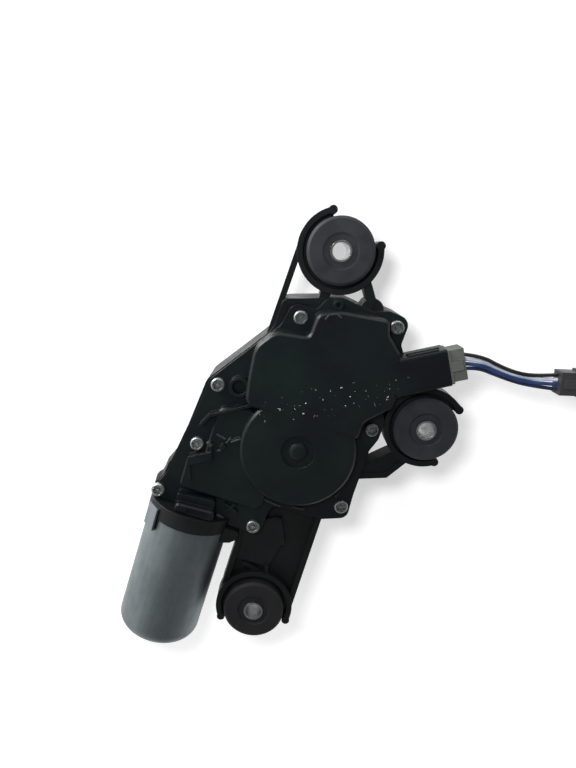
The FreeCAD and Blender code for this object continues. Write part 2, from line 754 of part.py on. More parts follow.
def cover_screws():
    """Eight pan-head screws."""
    screws = []
    for x, y in screw_places:
        profile = [(0, 0), (screw_head_radius, 0), (screw_head_radius, screw_head_height - screw_head_edge),
                   (screw_head_radius - screw_head_edge, screw_head_height), (0, screw_head_height)]
        head = turned(profile, V(x, y, flange_top))
        screws.append(head.fuse(cylinder(x, y, flange_top - screw_length, flange_top, screw_shank_radius)))
    return Part.makeCompound(screws)


def motor_can():
    """The drawn steel cup round the magnets."""
    bottom = can_mouth_y - can_length
    inner = can_radius - can_wall
    outside = motor_cylinder(bottom, can_mouth_y, can_radius)
    end_edges = [edge for edge in outside.Edges
                 if hasattr(edge.Curve, "Radius") and abs(edge.CenterOfMass.y - bottom) < 1e-3]
    outside = outside.makeFillet(can_end_radius, end_edges)
    hollow = motor_cylinder(bottom + can_wall, can_mouth_y + 1, inner)
    end_edges = [edge for edge in hollow.Edges
                 if hasattr(edge.Curve, "Radius") and abs(edge.CenterOfMass.y - bottom - can_wall) < 1e-3]
    hollow = hollow.makeFillet(can_end_radius - can_wall, end_edges)
    return outside.cut(hollow)


def can_clips():
    """Two bent tabs that hold the can to the neck."""
    clips = []
    inner = neck_radius + running_gap
    grip_end = can_mouth_y - clip_grip
    for angle in clip_angles:
        half = clip_width / 2
        outer = inner + clip_sheet
        strip = block(-half, half, grip_end, can_mouth_y + clip_hold, inner, outer)
        hook = block(-half, half, grip_end, grip_end + clip_sheet, can_radius - 0.1, outer)
        tab = strip.fuse(hook)
        tab.rotate(V(0, 0, 0), Y_AXIS, 90 - angle)
        tab.translate(V(motor_x, 0, motor_z))
        clips.append(tab.cut(motor_cylinder(grip_end - 1, can_mouth_y, can_radius)))
    return Part.makeCompound(clips)


def magnets():
    """Two curved magnets inside the can."""
    inner = can_radius - can_wall
    start = can_mouth_y - magnet_offset - magnet_length
    pieces = []
    for middle in (90.0, 270.0):
        shell = Part.makeCylinder(inner, magnet_length, V(0, 0, 0), Z_AXIS, magnet_arc)
        core = Part.makeCylinder(inner - magnet_thickness, magnet_length, V(0, 0, 0), Z_AXIS)
        shell = shell.cut(core)
        shell.rotate(V(0, 0, 0), Z_AXIS, middle - magnet_arc / 2)
        shell.rotate(V(0, 0, 0), X_AXIS, -90)
        shell.translate(V(motor_x, start, motor_z))
        pieces.append(shell)
    return Part.makeCompound(pieces)


def lamination_stack(bore):
    """The armature's slotted iron core."""
    outer = can_radius - can_wall - magnet_thickness - air_gap
    start = can_mouth_y - magnet_offset - magnet_length / 2 - stack_length / 2
    core = Part.makeCylinder(outer, stack_length, V(0, 0, 0), Z_AXIS)
    cuts = [Part.makeCylinder(bore, stack_length, V(0, 0, 0), Z_AXIS)]
    for i in range(stack_slots):
        half = slot_width / 2
        half_mouth = slot_mouth / 2
        slot_end = outer - tooth_tip
        slot = block(slot_end - slot_depth, slot_end, -half, half, -1, stack_length + 1)
        mouth = block(slot_end - 1, outer + 1, -half_mouth, half_mouth, -1, stack_length + 1)
        both = slot.fuse(mouth)
        both.rotate(V(0, 0, 0), Z_AXIS, 360.0 * i / stack_slots)
        cuts.append(both)
    core = core.cut(cuts)
    core.rotate(V(0, 0, 0), X_AXIS, -90)
    core.translate(V(motor_x, start, motor_z))
    return core, start


def windings(start):
    """The two bundles of copper wire that stand out at the ends of the core."""
    r0 = winding_core_radius
    r1 = winding_radius
    length = winding_length
    profile = [(r0, 0), (r1, 0), (r1, length - winding_slope), (r1 - winding_slope, length),
               (r0 + winding_foot, length), (r0, length - winding_foot)]
    front = turned(profile, V(motor_x, start + stack_length, motor_z), "y")
    mirrored = [(r, -h) for r, h in profile]
    back = turned(mirrored, V(motor_x, start, motor_z), "y")
    return Part.makeCompound([front, back])


def commutator(start_y):
    """Copper bars round the shaft."""
    body = Part.makeCylinder(commutator_radius, commutator_length, V(0, 0, 0), Z_AXIS)
    cuts = [Part.makeCylinder(shaft_radius, commutator_length, V(0, 0, 0), Z_AXIS)]
    for i in range(commutator_bars):
        gap = block(commutator_radius - bar_gap_depth, commutator_radius + 1, -bar_gap_width / 2,
                    bar_gap_width / 2, -1, commutator_length + 1)
        gap.rotate(V(0, 0, 0), Z_AXIS, 360.0 * (i + 0.5) / commutator_bars)
        cuts.append(gap)
    body = body.cut(cuts)
    body.rotate(V(0, 0, 0), X_AXIS, -90)
    body.translate(V(motor_x, start_y, motor_z))
    return body


def armature_shaft():
    """The steel shaft, with the worm cut on it."""
    bottom = can_mouth_y - can_length + can_wall + free_gap
    root = worm_pitch_radius - 1.2 * worm_module
    core_start = worm_start_y - worm_relief
    core_end = worm_end_y + worm_relief
    main = motor_cylinder(bottom, core_start, shaft_radius)
    worm_core = motor_cylinder(core_start, core_end, root)
    collar = motor_cylinder(core_end, shaft_tip_y - tip_length, shaft_radius)
    tip = motor_cylinder(shaft_tip_y - tip_length, shaft_tip_y, tip_radius)
    shaft = main.fuse([worm_core, collar, tip])
    return shaft.removeSplitter()


def worm_thread():
    """One turn of the helical thread for every tooth of the wheel that passes."""
    pitch = math.pi * worm_module
    root = worm_pitch_radius - 1.2 * worm_module - 0.25
    tip = worm_pitch_radius + 0.9 * worm_module
    half = pitch / 4 - worm_play / 2
    slope = math.tan(math.radians(20))
    tip_half = half - 0.9 * worm_module * slope
    root_half = half + (1.2 * worm_module + 0.25) * slope
    turns = int(worm_length / pitch / 2) * 2
    height = turns * pitch
    helix = Part.makeHelix(pitch, height, worm_pitch_radius)
    corners = [V(root, 0, -root_half), V(tip, 0, -tip_half), V(tip, 0, tip_half), V(root, 0, root_half)]
    profile = Part.makePolygon(corners + corners[:1])
    thread = Part.Wire(helix).makePipeShell([profile], True, True)
    thread.rotate(V(0, 0, 0), X_AXIS, -90)
    thread.translate(V(motor_x, idler_y - height / 2, motor_z))
    return thread




def motor_bush(start_y, length, outer, bore):
    """A sintered bush on the motor's axis."""
    return motor_ring(start_y, start_y + length, outer, bore + running_gap)


def rear_bush_holder(start_y):
    """The pressed cup in the can's end that carries the rear bush."""
    inner = can_radius - can_wall - rear_holder_inset
    plate = motor_ring(start_y, start_y + rear_holder_thickness, inner, rear_bush_radius)
    collar = motor_ring(start_y, start_y + rear_bush_length, rear_bush_radius + rear_holder_thickness,
                        rear_bush_radius)
    return plate.fuse(collar)


def brush_card():
    """The moulded plate in the neck, with a guide for each brush."""
    end_y = neck_end_y - 1.0
    start_y = end_y - brush_card_thickness
    plate = motor_ring(start_y, end_y, neck_bore_radius, commutator_radius + 1.0)
    shapes = [plate]
    for side in (-1, 1):
        for edge in (-1, 1):
            near = edge * (brush_size / 2 + assembly_gap)
            far = edge * (brush_size / 2 + assembly_gap + brush_guide_wall)
            x_near = motor_x + side * (commutator_radius + 2.0)
            x_far = motor_x + side * (commutator_radius + brush_length + brush_travel)
            shapes.append(block(min(x_near, x_far), max(x_near, x_far), start_y - brush_size, start_y,
                                motor_z + min(near, far), motor_z + max(near, far)))
        cap = motor_x + side * (commutator_radius + brush_length + brush_travel)
        end = cap + side * brush_guide_wall
        half = brush_size / 2 + assembly_gap + brush_guide_wall
        shapes.append(block(min(cap, end), max(cap, end), start_y - brush_size, start_y, motor_z - half,
                            motor_z + half))
    return fused(shapes), start_y


def carbon_brushes(card_y):
    """Two carbon blocks that bear on the commutator."""
    brushes = []
    barrel = motor_cylinder(card_y - brush_size - 1, card_y + 1, commutator_radius + running_gap)
    for side in (-1, 1):
        near = motor_x + side * (commutator_radius - 0.6)
        far = motor_x + side * (commutator_radius + brush_length)
        brush = block(min(near, far), max(near, far), card_y - brush_size, card_y - free_gap / 2,
                      motor_z - brush_size / 2, motor_z + brush_size / 2)
        brushes.append(brush.cut(barrel))
    return Part.makeCompound(brushes)


def brush_springs(card_y):
    """The springs behind the brushes, each as the tube that its coils fill."""
    springs = []
    for side in (-1, 1):
        start = V(motor_x + side * (commutator_radius + brush_length), card_y - brush_size / 2, motor_z)
        outward = V(side, 0, 0)
        coil = Part.makeCylinder(spring_radius, brush_travel, start, outward)
        springs.append(coil.cut(Part.makeCylinder(spring_bore_radius, brush_travel, start, outward)))
    return Part.makeCompound(springs)


def intermediate_gear():
    """The worm wheel and the pinion moulded in one, turning on a fixed axle."""
    wheel = gear_solid(idler_x, idler_y, wheel_bottom, wheel_top,
                       gear_outline(wheel_teeth, worm_module, worm_play * 1.2, 180.0 + 180.0 / wheel_teeth))
    pocket_depth = (wheel_thickness - wheel_web_thickness) / 2
    rim_inner = wheel_pitch_radius - 1.2 * worm_module - rim_thickness
    low_web = wheel_bottom + pocket_depth
    high_web = wheel_top - pocket_depth
    pockets = [ring(idler_x, idler_y, wheel_bottom - 1, low_web, rim_inner, idler_hub_radius),
               ring(idler_x, idler_y, high_web, wheel_top + 1, rim_inner, pinion_radius + 1.5 * gear_module)]
    toward_output = math.degrees(math.atan2(-idler_y, -idler_x))
    pinion = gear_solid(idler_x, idler_y, wheel_top - 0.5, gear_top,
                        gear_outline(pinion_teeth, gear_module, gear_play, toward_output))
    body = wheel.cut(pockets).fuse(pinion)
    bore = cylinder(idler_x, idler_y, wheel_bottom - 1, gear_top + 1, idler_axle_radius + running_gap)
    return fused([body]).cut(bore)


def output_gear():
    """The large gear under the round dome, on the output shaft's flatted seat."""
    toward_idler = math.degrees(math.atan2(idler_y, idler_x))
    outline = gear_outline(output_teeth, gear_module, gear_play, toward_idler + 180.0 / output_teeth)
    disc = gear_solid(0, 0, gear_level, gear_top, outline)
    rim_inner = output_gear_radius - 1.2 * gear_module - rim_thickness
    pocket_depth = (gear_thickness - gear_web_thickness) / 2
    disc = disc.cut([ring(0, 0, gear_level - 1, gear_level + pocket_depth, rim_inner, gear_hub_radius),
                     ring(0, 0, gear_top - pocket_depth, gear_top + 1, rim_inner, gear_hub_radius)])
    ribs = []
    half = spoke_width / 2
    for i in range(gear_spokes):
        spoke = block(gear_hub_radius - 0.5, rim_inner + 0.5, -half, half, gear_level, gear_top)
        spoke.rotate(V(0, 0, 0), Z_AXIS, 360.0 * i / gear_spokes + spoke_turn)
        ribs.append(spoke)
    disc = disc.fuse(ribs)
    return disc.cut(shaft_seat())


def shaft_seat():
    """The flatted length of the output shaft that drives the gear."""
    seat = cylinder(0, 0, gear_level - 0.6, gear_top, gear_seat_radius)
    limits = block(-gear_seat_flat, gear_seat_flat, -gear_seat_radius, gear_seat_radius, gear_level - 1,
                   gear_top + 1)
    return seat.common(limits)


def output_shaft():
    """The steel shaft: journal, gear seat, long barrel, serrated cone and threaded stud."""
    groove_top = boss_bottom - washer_thickness
    profile = [(0, -cone_length - stud_length), (stud_radius - 0.8, -cone_length - stud_length),
               (stud_radius, -cone_length - stud_length + 0.8), (stud_radius, -cone_length),
               (cone_small_radius, -cone_length), (cone_large_radius, 0), (output_radius, 0),
               (output_radius, groove_top - clip_thickness),
               (output_radius - clip_groove_depth, groove_top - clip_thickness),
               (output_radius - clip_groove_depth, groove_top), (output_radius, groove_top),
               (output_radius, gear_level - 0.6), (0, gear_level - 0.6)]
    barrel = turned(profile)
    journal = cylinder(0, 0, gear_top, gear_top + journal_length, journal_radius)
    shaft = barrel.fuse([shaft_seat(), journal])
    cuts = []
    foot = cone_large_radius - serration_depth
    half = notch_width / 2
    for i in range(serrations):
        notch = Part.makePolygon([V(foot, 0, 1), V(cone_large_radius + 1, -half, 1),
                                  V(cone_large_radius + 1, half, 1), V(foot, 0, 1)])
        low = notch.copy()
        low.translate(V(cone_small_radius - cone_large_radius, 0, -cone_length))
        tool = Part.makeLoft([low, notch], True, True)
        tool.rotate(V(0, 0, 0), Z_AXIS, 360.0 * i / serrations)
        cuts.append(tool)
    skirt = block(-20, 20, -20, 20, -0.2, 5)
    tools = Part.makeCompound(cuts).cut(skirt)
    return shaft.cut(tools)


def output_bush(bottom):
    """A sintered bush in the shaft boss."""
    return ring(0, 0, bottom, bottom + output_bush_length, output_bush_radius, output_radius + running_gap)


def shaft_seal():
    """The rubber lip seal at the mouth of the boss."""
    bottom = boss_bottom + 0.2
    top = boss_bottom + seal_height
    lip = output_radius + running_gap
    profile = [(lip, bottom), (output_bush_radius, bottom), (output_bush_radius, top), (lip + 0.75, top),
               (lip, (bottom + top) / 2)]
    return turned(profile)


def retaining_ring():
    """The open ring in the shaft's groove."""
    top = boss_bottom - washer_thickness
    whole = ring(0, 0, top - clip_thickness, top, clip_radius, output_radius - clip_groove_depth)
    half = clip_opening / 2
    return whole.cut(block(0, 2 * clip_radius, -half, half, top - 2 * clip_thickness, top + 1))


def grommet(name):
    """A rubber bush with two thick discs and a narrow waist that sits in the cup's slot."""
    x, y = mount_places[name]
    bottom = grommet_top - grommet_height
    low = plate_bottom - assembly_gap
    high = plate_bottom + cup_plate + assembly_gap
    edge = grommet_edge
    radius = grommet_radius
    waist = waist_radius - assembly_gap
    step_bottom = grommet_top - grommet_step_height
    profile = [(sleeve_radius, bottom), (radius - edge, bottom), (radius, bottom + edge), (radius, low),
               (waist, low), (waist, high), (radius, high), (radius, grommet_top - edge),
               (radius - edge, grommet_top), (grommet_step_radius, grommet_top),
               (grommet_step_radius - grommet_step_height, step_bottom), (sleeve_radius, step_bottom)]
    return turned(profile, V(x, y, 0))


def sleeve(name):
    """The steel sleeve that takes the mounting bolt."""
    x, y = mount_places[name]
    top = grommet_top + sleeve_proud
    bottom = grommet_top - grommet_height - sleeve_proud
    profile = [(sleeve_bore_radius, bottom), (sleeve_radius, bottom), (sleeve_radius, top),
               (sleeve_bore_radius, top)]
    return turned(profile, V(x, y, 0))


def circuit_board():
    """The board under the plateau, cut off clear of the output gear's hub."""
    board = slab(plateau_corners, board_level, board_top, cover_wall + board_inset)
    side = 2 * dome_radius
    front = block(-side, side, -side, board_front, board_level - 1, board_top + 1)
    return board.cut(front)


def board_parts():
    """The relay, the capacitor and two chokes that hang under the board."""
    relay_x, relay_y = relay_place
    length, width, height = relay_size
    relay = block(relay_x, relay_x + length, relay_y, relay_y + width, board_level - height, board_level)
    x, y = capacitor_place
    tall = cylinder(x, y, board_level - capacitor_height, board_level, capacitor_radius)
    choke_bottom = board_level - choke_height
    chokes = [cylinder(x, y, choke_bottom, board_level, choke_radius) for x, y in choke_places]
    return Part.makeCompound([relay, tall] + chokes)


def plug_level():
    """Height of the middle of the socket."""
    return plateau_top - socket_height / 2


def connector_plug():
    """The grey plug: its nose is in the socket, and its stepped head stands out of it."""
    middle = plug_level()
    nose_width = socket_width - 2 * socket_wall - 2 * assembly_gap
    nose_height = socket_height - 2 * socket_wall - 2 * assembly_gap
    start = socket_length - plug_depth + 1.0
    nose = Part.makeBox(socket_length - start, nose_width, nose_height,
                        V(start, -nose_width / 2, middle - nose_height / 2))
    face = socket_length + assembly_gap
    collar_width = socket_width - socket_wall
    collar_height = socket_height - socket_wall
    collar = Part.makeBox(plug_collar, collar_width, collar_height,
                          V(face, -collar_width / 2, middle - collar_height / 2))
    nose = nose.fuse(Part.makeBox(assembly_gap, nose_width, nose_height,
                                  V(socket_length, -nose_width / 2, middle - nose_height / 2)))
    head_start = face + plug_collar
    head = Part.makeBox(plug_reach - plug_collar, plug_head_width, plug_head_height,
                        V(head_start, -plug_head_width / 2, middle - plug_head_height / 2))
    latch = Part.makeBox(plug_reach - plug_collar, plug_latch_width, plug_latch_height,
                         V(face, -plug_latch_width / 2, middle + plug_head_height / 2))
    body = in_socket_frame(fused([nose, collar, head, latch]))
    clearance = Part.makeBox(pin_length - pin_root - start + 1.6, pin_pitch * pin_count,
                             pin_thickness + 2 * assembly_gap,
                             V(start - 1, -pin_pitch * pin_count / 2, board_top - assembly_gap))
    return body.cut(in_socket_frame(clearance))


def tube_along(points, radius):
    """A plain tube along straight runs joined by tangent arcs, each as large as its two runs allow."""
    points = [V(*point) for point in points]
    edges = []
    last = points[0]
    radii = []
    for i in range(1, len(points) - 1):
        here = points[i]
        before = points[i - 1] - here
        after = points[i + 1] - here
        shorter = min(before.Length, after.Length)
        before.normalize()
        after.normalize()
        half = before.getAngle(after) / 2
        reach = 0.45 * shorter
        arc_radius = reach * math.tan(half)
        radii.append(round(arc_radius, 1))
        bisector = before + after
        bisector.normalize()
        middle = here + bisector * (arc_radius / math.sin(half) - arc_radius)
        start = here + before * reach
        end = here + after * reach
        edges.append(Part.LineSegment(last, start).toShape())
        edges.append(Part.Arc(start, middle, end).toShape())
        last = end
    edges.append(Part.LineSegment(last, points[-1]).toShape())
    path = Part.Wire(edges)
    first = points[1] - points[0]
    circle = Part.Wire(Part.makeCircle(radius, points[0], first))
    tube = path.makePipeShell([circle], True, True)
    expected = math.pi * radius ** 2 * path.Length
    print("tube length", round(path.Length, 1), "arc radii", radii, "volume over section times length",
          round(tube.Volume / expected, 3))
    return tube


def harness_route():
    """The route of the middle of the harness, from the plug's face to the end connector."""
    reach = socket_length + assembly_gap + plug_reach
    angle = math.radians(socket_angle)
    x, y = socket_root
    start = (x + reach * math.cos(angle), y + reach * math.sin(angle), plug_level())
    return [start] + wire_route


def wire_points(order):
    """The route of one wire, beside the others."""
    points = []
    route = harness_route()
    last = len(route) - 1
    for i, (x, y, z) in enumerate(route):
        ahead = route[min(i + 1, last)]
        behind = route[max(i - 1, 0)]
        dx = ahead[0] - behind[0]
        dy = ahead[1] - behind[1]
        if i == 0:
            dx = math.cos(math.radians(socket_angle))
            dy = math.sin(math.radians(socket_angle))
        if i == last:
            dx, dy = wire_end_direction
        size = math.hypot(dx, dy)
        side = ((len(wire_names) - 1) / 2 - order) * wire_spread[i]
        points.append((x - dy / size * side, y + dx / size * side, z))
    return points


def end_connector():
    """The black connector at the end of the harness stub."""
    angle = math.degrees(math.atan2(wire_end_direction[1], wire_end_direction[0]))
    half_w = end_connector_width / 2
    half_h = end_connector_height / 2
    length = end_connector_length
    body = block(0, length, -half_w, half_w, -half_h, half_h)
    step_w = half_w + end_step_out
    step_h = half_h + end_step_up
    lock_w = end_lock_width / 2
    mouth_w = half_w - end_wall
    mouth_h = half_h - end_wall
    step = block(end_step_start, length, -step_w, step_w, -step_h, step_h)
    lock = block(end_lock_start, end_lock_start + end_lock_length, -lock_w, lock_w, half_h,
                 half_h + end_lock_height)
    mouth = block(length - end_mouth_depth, length + 1, -mouth_w, mouth_w, -mouth_h, mouth_h)
    body = fused([body, step, lock]).cut(mouth)
    body.rotate(V(0, 0, 0), Z_AXIS, angle)
    end = wire_route[-1]
    body.translate(V(end[0], end[1], end[2]))
    return body




def build():
    """Makes every piece and writes it."""
    pins = connector_pins()
    stack, stack_start = lamination_stack(shaft_radius)
    card, card_y = brush_card()
    commutator_y = card_y - commutator_length + commutator_overlap
    rear_bush_y = can_mouth_y - can_length + can_wall + 1.4
    front_bush_y = neck_end_y - 1.0
    save("gear_housing", gear_housing())
    save("gear_cover", gear_cover(pins))
    save("cover_gasket", cover_gasket())
    save("cover_screws", cover_screws())
    save("motor_can", motor_can())
    save("can_clips", can_clips())
    save("magnets", magnets())
    save("rear_bush_holder", rear_bush_holder(rear_bush_y))
    save("rear_bush", motor_bush(rear_bush_y, rear_bush_length, rear_bush_radius, shaft_radius))
    save("front_bush", motor_bush(front_bush_y, front_bush_length, front_bush_radius, shaft_radius))
    tip_bush_y = shaft_tip_y - tip_length + 1.0
    save("tip_bush", motor_bush(tip_bush_y, tip_length - 1.0, tip_bush_radius, tip_radius))
    save("thrust_pad", motor_cylinder(shaft_tip_y, shaft_tip_y + thrust_pad_thickness, tip_bush_radius))
    save("brush_card", card)
    save("carbon_brushes", carbon_brushes(card_y))
    save("brush_springs", brush_springs(card_y))
    save("lamination_stack", stack)
    save("armature_windings", windings(stack_start))
    save("commutator", commutator(commutator_y))
    save("armature_shaft", fused([armature_shaft(), worm_thread()]))
    save("idler_axle", cylinder(idler_x, idler_y, wheel_bottom - idler_axle_sink, gear_top + 0.4,
                                idler_axle_radius))
    save("intermediate_gear", intermediate_gear())
    save("output_gear", output_gear())
    save("output_shaft", output_shaft())
    save("upper_output_bush", output_bush(bush_top - output_bush_length))
    save("lower_output_bush", output_bush(boss_bottom + seal_height))
    save("shaft_seal", shaft_seal())
    save("thrust_washer", ring(0, 0, boss_bottom - washer_thickness, boss_bottom, washer_radius,
                               output_radius + assembly_gap))
    save("retaining_ring", retaining_ring())
    save("circuit_board", circuit_board())
    save("board_parts", board_parts())
    save("connector_pins", Part.makeCompound(pins))
    save("connector_plug", connector_plug())
    for name in mount_places:
        save(name + "_grommet", grommet(name))
        save(name + "_sleeve", sleeve(name))
    for order, name in enumerate(wire_names):
        save(name, tube_along(wire_points(order), wire_radius))
    save("end_connector", end_connector())


os.makedirs("parts", exist_ok=True)
build()
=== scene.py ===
import math
import bmesh
import bpy
import numpy as np
from mathutils import Matrix, Vector


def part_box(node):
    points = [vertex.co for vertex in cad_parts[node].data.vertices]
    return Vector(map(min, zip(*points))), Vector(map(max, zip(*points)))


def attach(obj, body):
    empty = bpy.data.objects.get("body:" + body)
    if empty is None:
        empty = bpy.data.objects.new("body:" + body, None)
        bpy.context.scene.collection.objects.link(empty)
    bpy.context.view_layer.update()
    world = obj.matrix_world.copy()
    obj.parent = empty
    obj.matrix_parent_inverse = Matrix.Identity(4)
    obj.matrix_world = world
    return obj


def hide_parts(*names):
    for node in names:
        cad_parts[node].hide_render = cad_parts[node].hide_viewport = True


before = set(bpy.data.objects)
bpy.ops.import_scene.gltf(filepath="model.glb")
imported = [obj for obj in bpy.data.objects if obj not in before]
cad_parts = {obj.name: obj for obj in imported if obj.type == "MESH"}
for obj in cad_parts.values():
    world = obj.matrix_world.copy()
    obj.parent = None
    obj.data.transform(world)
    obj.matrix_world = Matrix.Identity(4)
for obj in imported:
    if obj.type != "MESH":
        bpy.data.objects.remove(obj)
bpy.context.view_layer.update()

MM = 0.001
MERGE_DISTANCE = 1e-7

# Screws, in millimetres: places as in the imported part, and a profile of radius, height and fillet
SCREW_PLACES = [(-18.5, 61.7), (26.5, 71.2), (-46.9, 18.2), (32.2, 19.7),
                (-48.4, -14.1), (-60.6, -44.0), (31.0, -24.0), (-8.6, -48.6)]
SCREW_HEAD_HEIGHT = 2.6
SCREW_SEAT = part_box("cover_screws")[1][2] / MM - SCREW_HEAD_HEIGHT
SCREW_SHANK = [(1.2, -14.0, 0), (2.0, -13.2, 0), (2.0, 0.0, 0)]
SCREW_HEAD = [(3.5, 0.0, 0), (3.5, SCREW_HEAD_HEIGHT, 1.1), (2.42, SCREW_HEAD_HEIGHT, 0.1)]
SCREW_RECESS = [(2.3, 2.45, 0), (2.1, 1.3, 0), (1.9, 1.0, 0)]
SCREW_PIN = [(0.95, 1.0, 0.1), (0.85, 2.1, 0.3), (0.25, 2.2, 0)]
SCREW_SEGMENTS, SCREW_FILLET_STEPS, SCREW_SHARP_ANGLE = 72, 6, 40.0
LOBES, LOBE_SHARE = 6, 0.12
LOBE_RADII, LOBE_HEIGHTS = (1.2, 2.45), (0.9, 2.59)

# Cap in the round dimple: a profile of radius, height and fillet
CAP_PROFILE = [(3.0, 74.3, 0), (4.55, 74.3, 0), (4.4, 75.0, 0.2), (2.7, 75.95, 0.6), (0.3, 76.05, 0)]
CAP_SEGMENTS, CAP_FILLET_STEPS = 64, 5

# Ribs on the socket's upper side: name, height, thickness and how far out they reach
SOCKET_ROOT, SOCKET_ANGLE, SOCKET_WIDTH = (36.6, 51.3), 30.0, 18.0
SOCKET_RIBS = [("socket_rib_upper", 74.2, 0.75, 17.6), ("socket_rib_lower", 70.6, 0.9, 18.4)]
RIB_START, RIB_SUNK, RIB_HALF_HEIGHT = 2.6, 0.3, 0.8
RIB_BLUNTNESS, RIB_STEPS = 0.6, 12
RIB_END_LENGTH, RIB_END_SHARE = 0.3, 0.6

# Plates on the case: name, outline, and the heights of the foot and the top
CORNER_PLATES = [
    ("case_corner_plate",
     [(-28.6, 66.6), (-28.8, 53.0), (-22.0, 53.0), (-3.0, 60.0), (-3.0, 72.0), (-7.6, 72.6), (-11.2, 70.6),
      (-16.2, 69.0), (-21.5, 67.2)], 59.8, 61.9),
    ("side_strut_plate", [(35.4, -7.4), (48.2, -2.4), (55.2, 8.2), (49.4, 9.8), (36.3, -2.8)], 58.2, 60.6)]
PLATE_EDGE, PLATE_TOP_SHARE = 0.4, 0.97

# Ridges on the lid: the height of the foot, then each one's start, end, width and height over the foot
SMALL_RIDGES = [
    (69.0, [((-43.5, -10.1), (-40.9, -12.0), 2.4, 1.8), ((-40.3, -5.2), (-35.3, -6.3), 1.0, 1.3),
            ((-34.7, -8.3), (-33.2, -4.6), 1.0, 1.3), ((-37.9, -13.6), (-35.6, -11.9), 1.0, 1.2),
            ((-32.6, -6.8), (-28.4, -3.6), 1.2, 1.8)]),
    (65.0, [((-12.2, -30.2), (-6.5, -33.0), 1.0, 1.3), ((-6.5, -33.0), (1.6, -34.0), 1.0, 1.2),
            ((7.3, -32.2), (14.1, -31.6), 1.2, 1.3), ((-28.3, -48.3), (-22.9, -50.1), 1.3, 1.4),
            ((26.7, -20.5), (29.4, -11.0), 0.8, 1.1), ((29.4, -11.0), (30.1, -3.9), 0.8, 1.1)]),
    (75.8, [((-8.1, 65.2), (-7.1, 67.9), 0.9, 0.8), ((-7.1, 67.9), (-3.8, 69.5), 0.9, 0.8),
            ((-3.8, 69.5), (-1.0, 68.4), 0.9, 0.8)])]
RIDGE_SHOULDER_DEPTH = 0.25
RIDGE_SHARES, RIDGE_INSETS = (1.0, 0.8, 0.5), (0.0, 0.1, 0.3)

# Harness wires: their middle route, the spacing and share of sag at its points, and each wire's drop
WIRE_ROUTE = [(61.67, 65.78, 68.25), (69.4, 68.0, 68.0), (80.6, 66.5, 66.6), (91.2, 66.0, 65.6),
              (101.0, 67.4, 64.9), (110.4, 70.0, 64.6)]
WIRE_SPREAD = [2.4, 1.95, 1.52, 1.52, 1.85, 2.4]
WIRE_SAG = [0.0, 0.6, 1.0, 1.0, 0.6, 0.0]
WIRE_DROPS = [0.0, 1.6, 0.1, 1.35]
WIRE_START_ANGLE = 30.0
WIRE_END_DIRECTION = (0.964, 0.266)
WIRE_DIAMETER = 1.9
WIRE_ROUND_STEPS, WIRE_LONG_STEPS = 5, 16

# Pale specks on the lid, in metres and radians: an ellipsoid outside of which there are none
SCUFF_CENTRE, SCUFF_TURN, SCUFF_REACH = (0.009, 0.0305, 0.075), (0.0, 0.0, 0.5), (0.046, 0.0085, 0.02)
SCUFF_COLOUR = (176, 182, 180)

# Camera, from the photograph's perspective
CAMERA_PLACE = (-32.3, 92.3, 346.8)
CAMERA_TURN, CAMERA_TILT, CAMERA_ROLL = 17.9, -13.18, 0.495
CAMERA_NEAR = 0.01
FOCAL_PIXELS = 590.0
IMAGE_HEIGHT = 768.0
SENSOR = 36.0

# Floor, sky and lamps
FLOOR_Z, FLOOR_REACH, FLOOR_GREY = -15.6, 3.0, 0.8
FLOOR_GLOW, FLOOR_GLOW_RISE, FLOOR_MIRRORED = 0.07, 0.68, 0.45
SKY_AXIS = (0.55, -0.15, 1.0)
SKY_LOW, SKY_HIGH = 0.05, 0.75
SKY_HORIZON, SKY_ZENITH = 0.7, 0.17
KEY_PLACE, KEY_SIZE, KEY_POWER = (-72.0, 113.0, 347.0), 42.0, 1.1
SIDE_PLACE, SIDE_POWER = (-640.0, 330.0, 175.0), 5.5
BACK_PLACE, BACK_POWER = (60.0, 680.0, 200.0), 0.5
FILL_SIZE, FILL_AIM = 300.0, (0.0, 0.0, 50.0)


# Mesh code

def ring_faces(rows, count):
    """Quads between each ring of points and the next, and a flat face at both ends."""
    row, column = np.meshgrid(np.arange(rows - 1), np.arange(count), indexing="ij")
    here = row * count + column
    beside = row * count + (column + 1) % count
    quads = np.stack([here, beside, beside + count, here + count], axis=-1).reshape(-1, 4)
    end = np.arange(count)
    return quads.tolist() + [end[::-1].tolist(), (end + (rows - 1) * count).tolist()]


def turned_grid(profile, segments):
    """Grids of radius, height and angle, for a profile that is carried once round the axis."""
    angle = np.linspace(0, 2 * np.pi, segments, endpoint=False)
    radius, around = np.meshgrid(profile[:, 0], angle, indexing="ij")
    height, _ = np.meshgrid(profile[:, 1], angle, indexing="ij")
    return radius, height, around


def turned_points(radius, height, around):
    """Surface of revolution: x and y are the radius times the angle's cosine and sine, z is the height."""
    return np.stack([radius * np.cos(around), radius * np.sin(around), height], axis=-1)


def rounded_profile(corners, steps):
    """A profile from corners (radius, height, fillet): each corner is cut by a quarter-like curve.

    The curve is the quadratic blend of the two cut points and the corner itself."""
    points = []
    last = len(corners) - 1
    for i, (radius, height, fillet) in enumerate(corners):
        here = np.array([radius, height], float)
        if fillet <= 0 or i in (0, last):
            points.append(here)
            continue
        before = np.array(corners[i - 1][:2], float) - here
        after = np.array(corners[i + 1][:2], float) - here
        start = here + before / np.linalg.norm(before) * fillet
        end = here + after / np.linalg.norm(after) * fillet
        t = np.linspace(0, 1, steps)[:, None]
        points.extend((1 - t) ** 2 * start + 2 * t * (1 - t) * here + t ** 2 * end)
    return np.array(points)


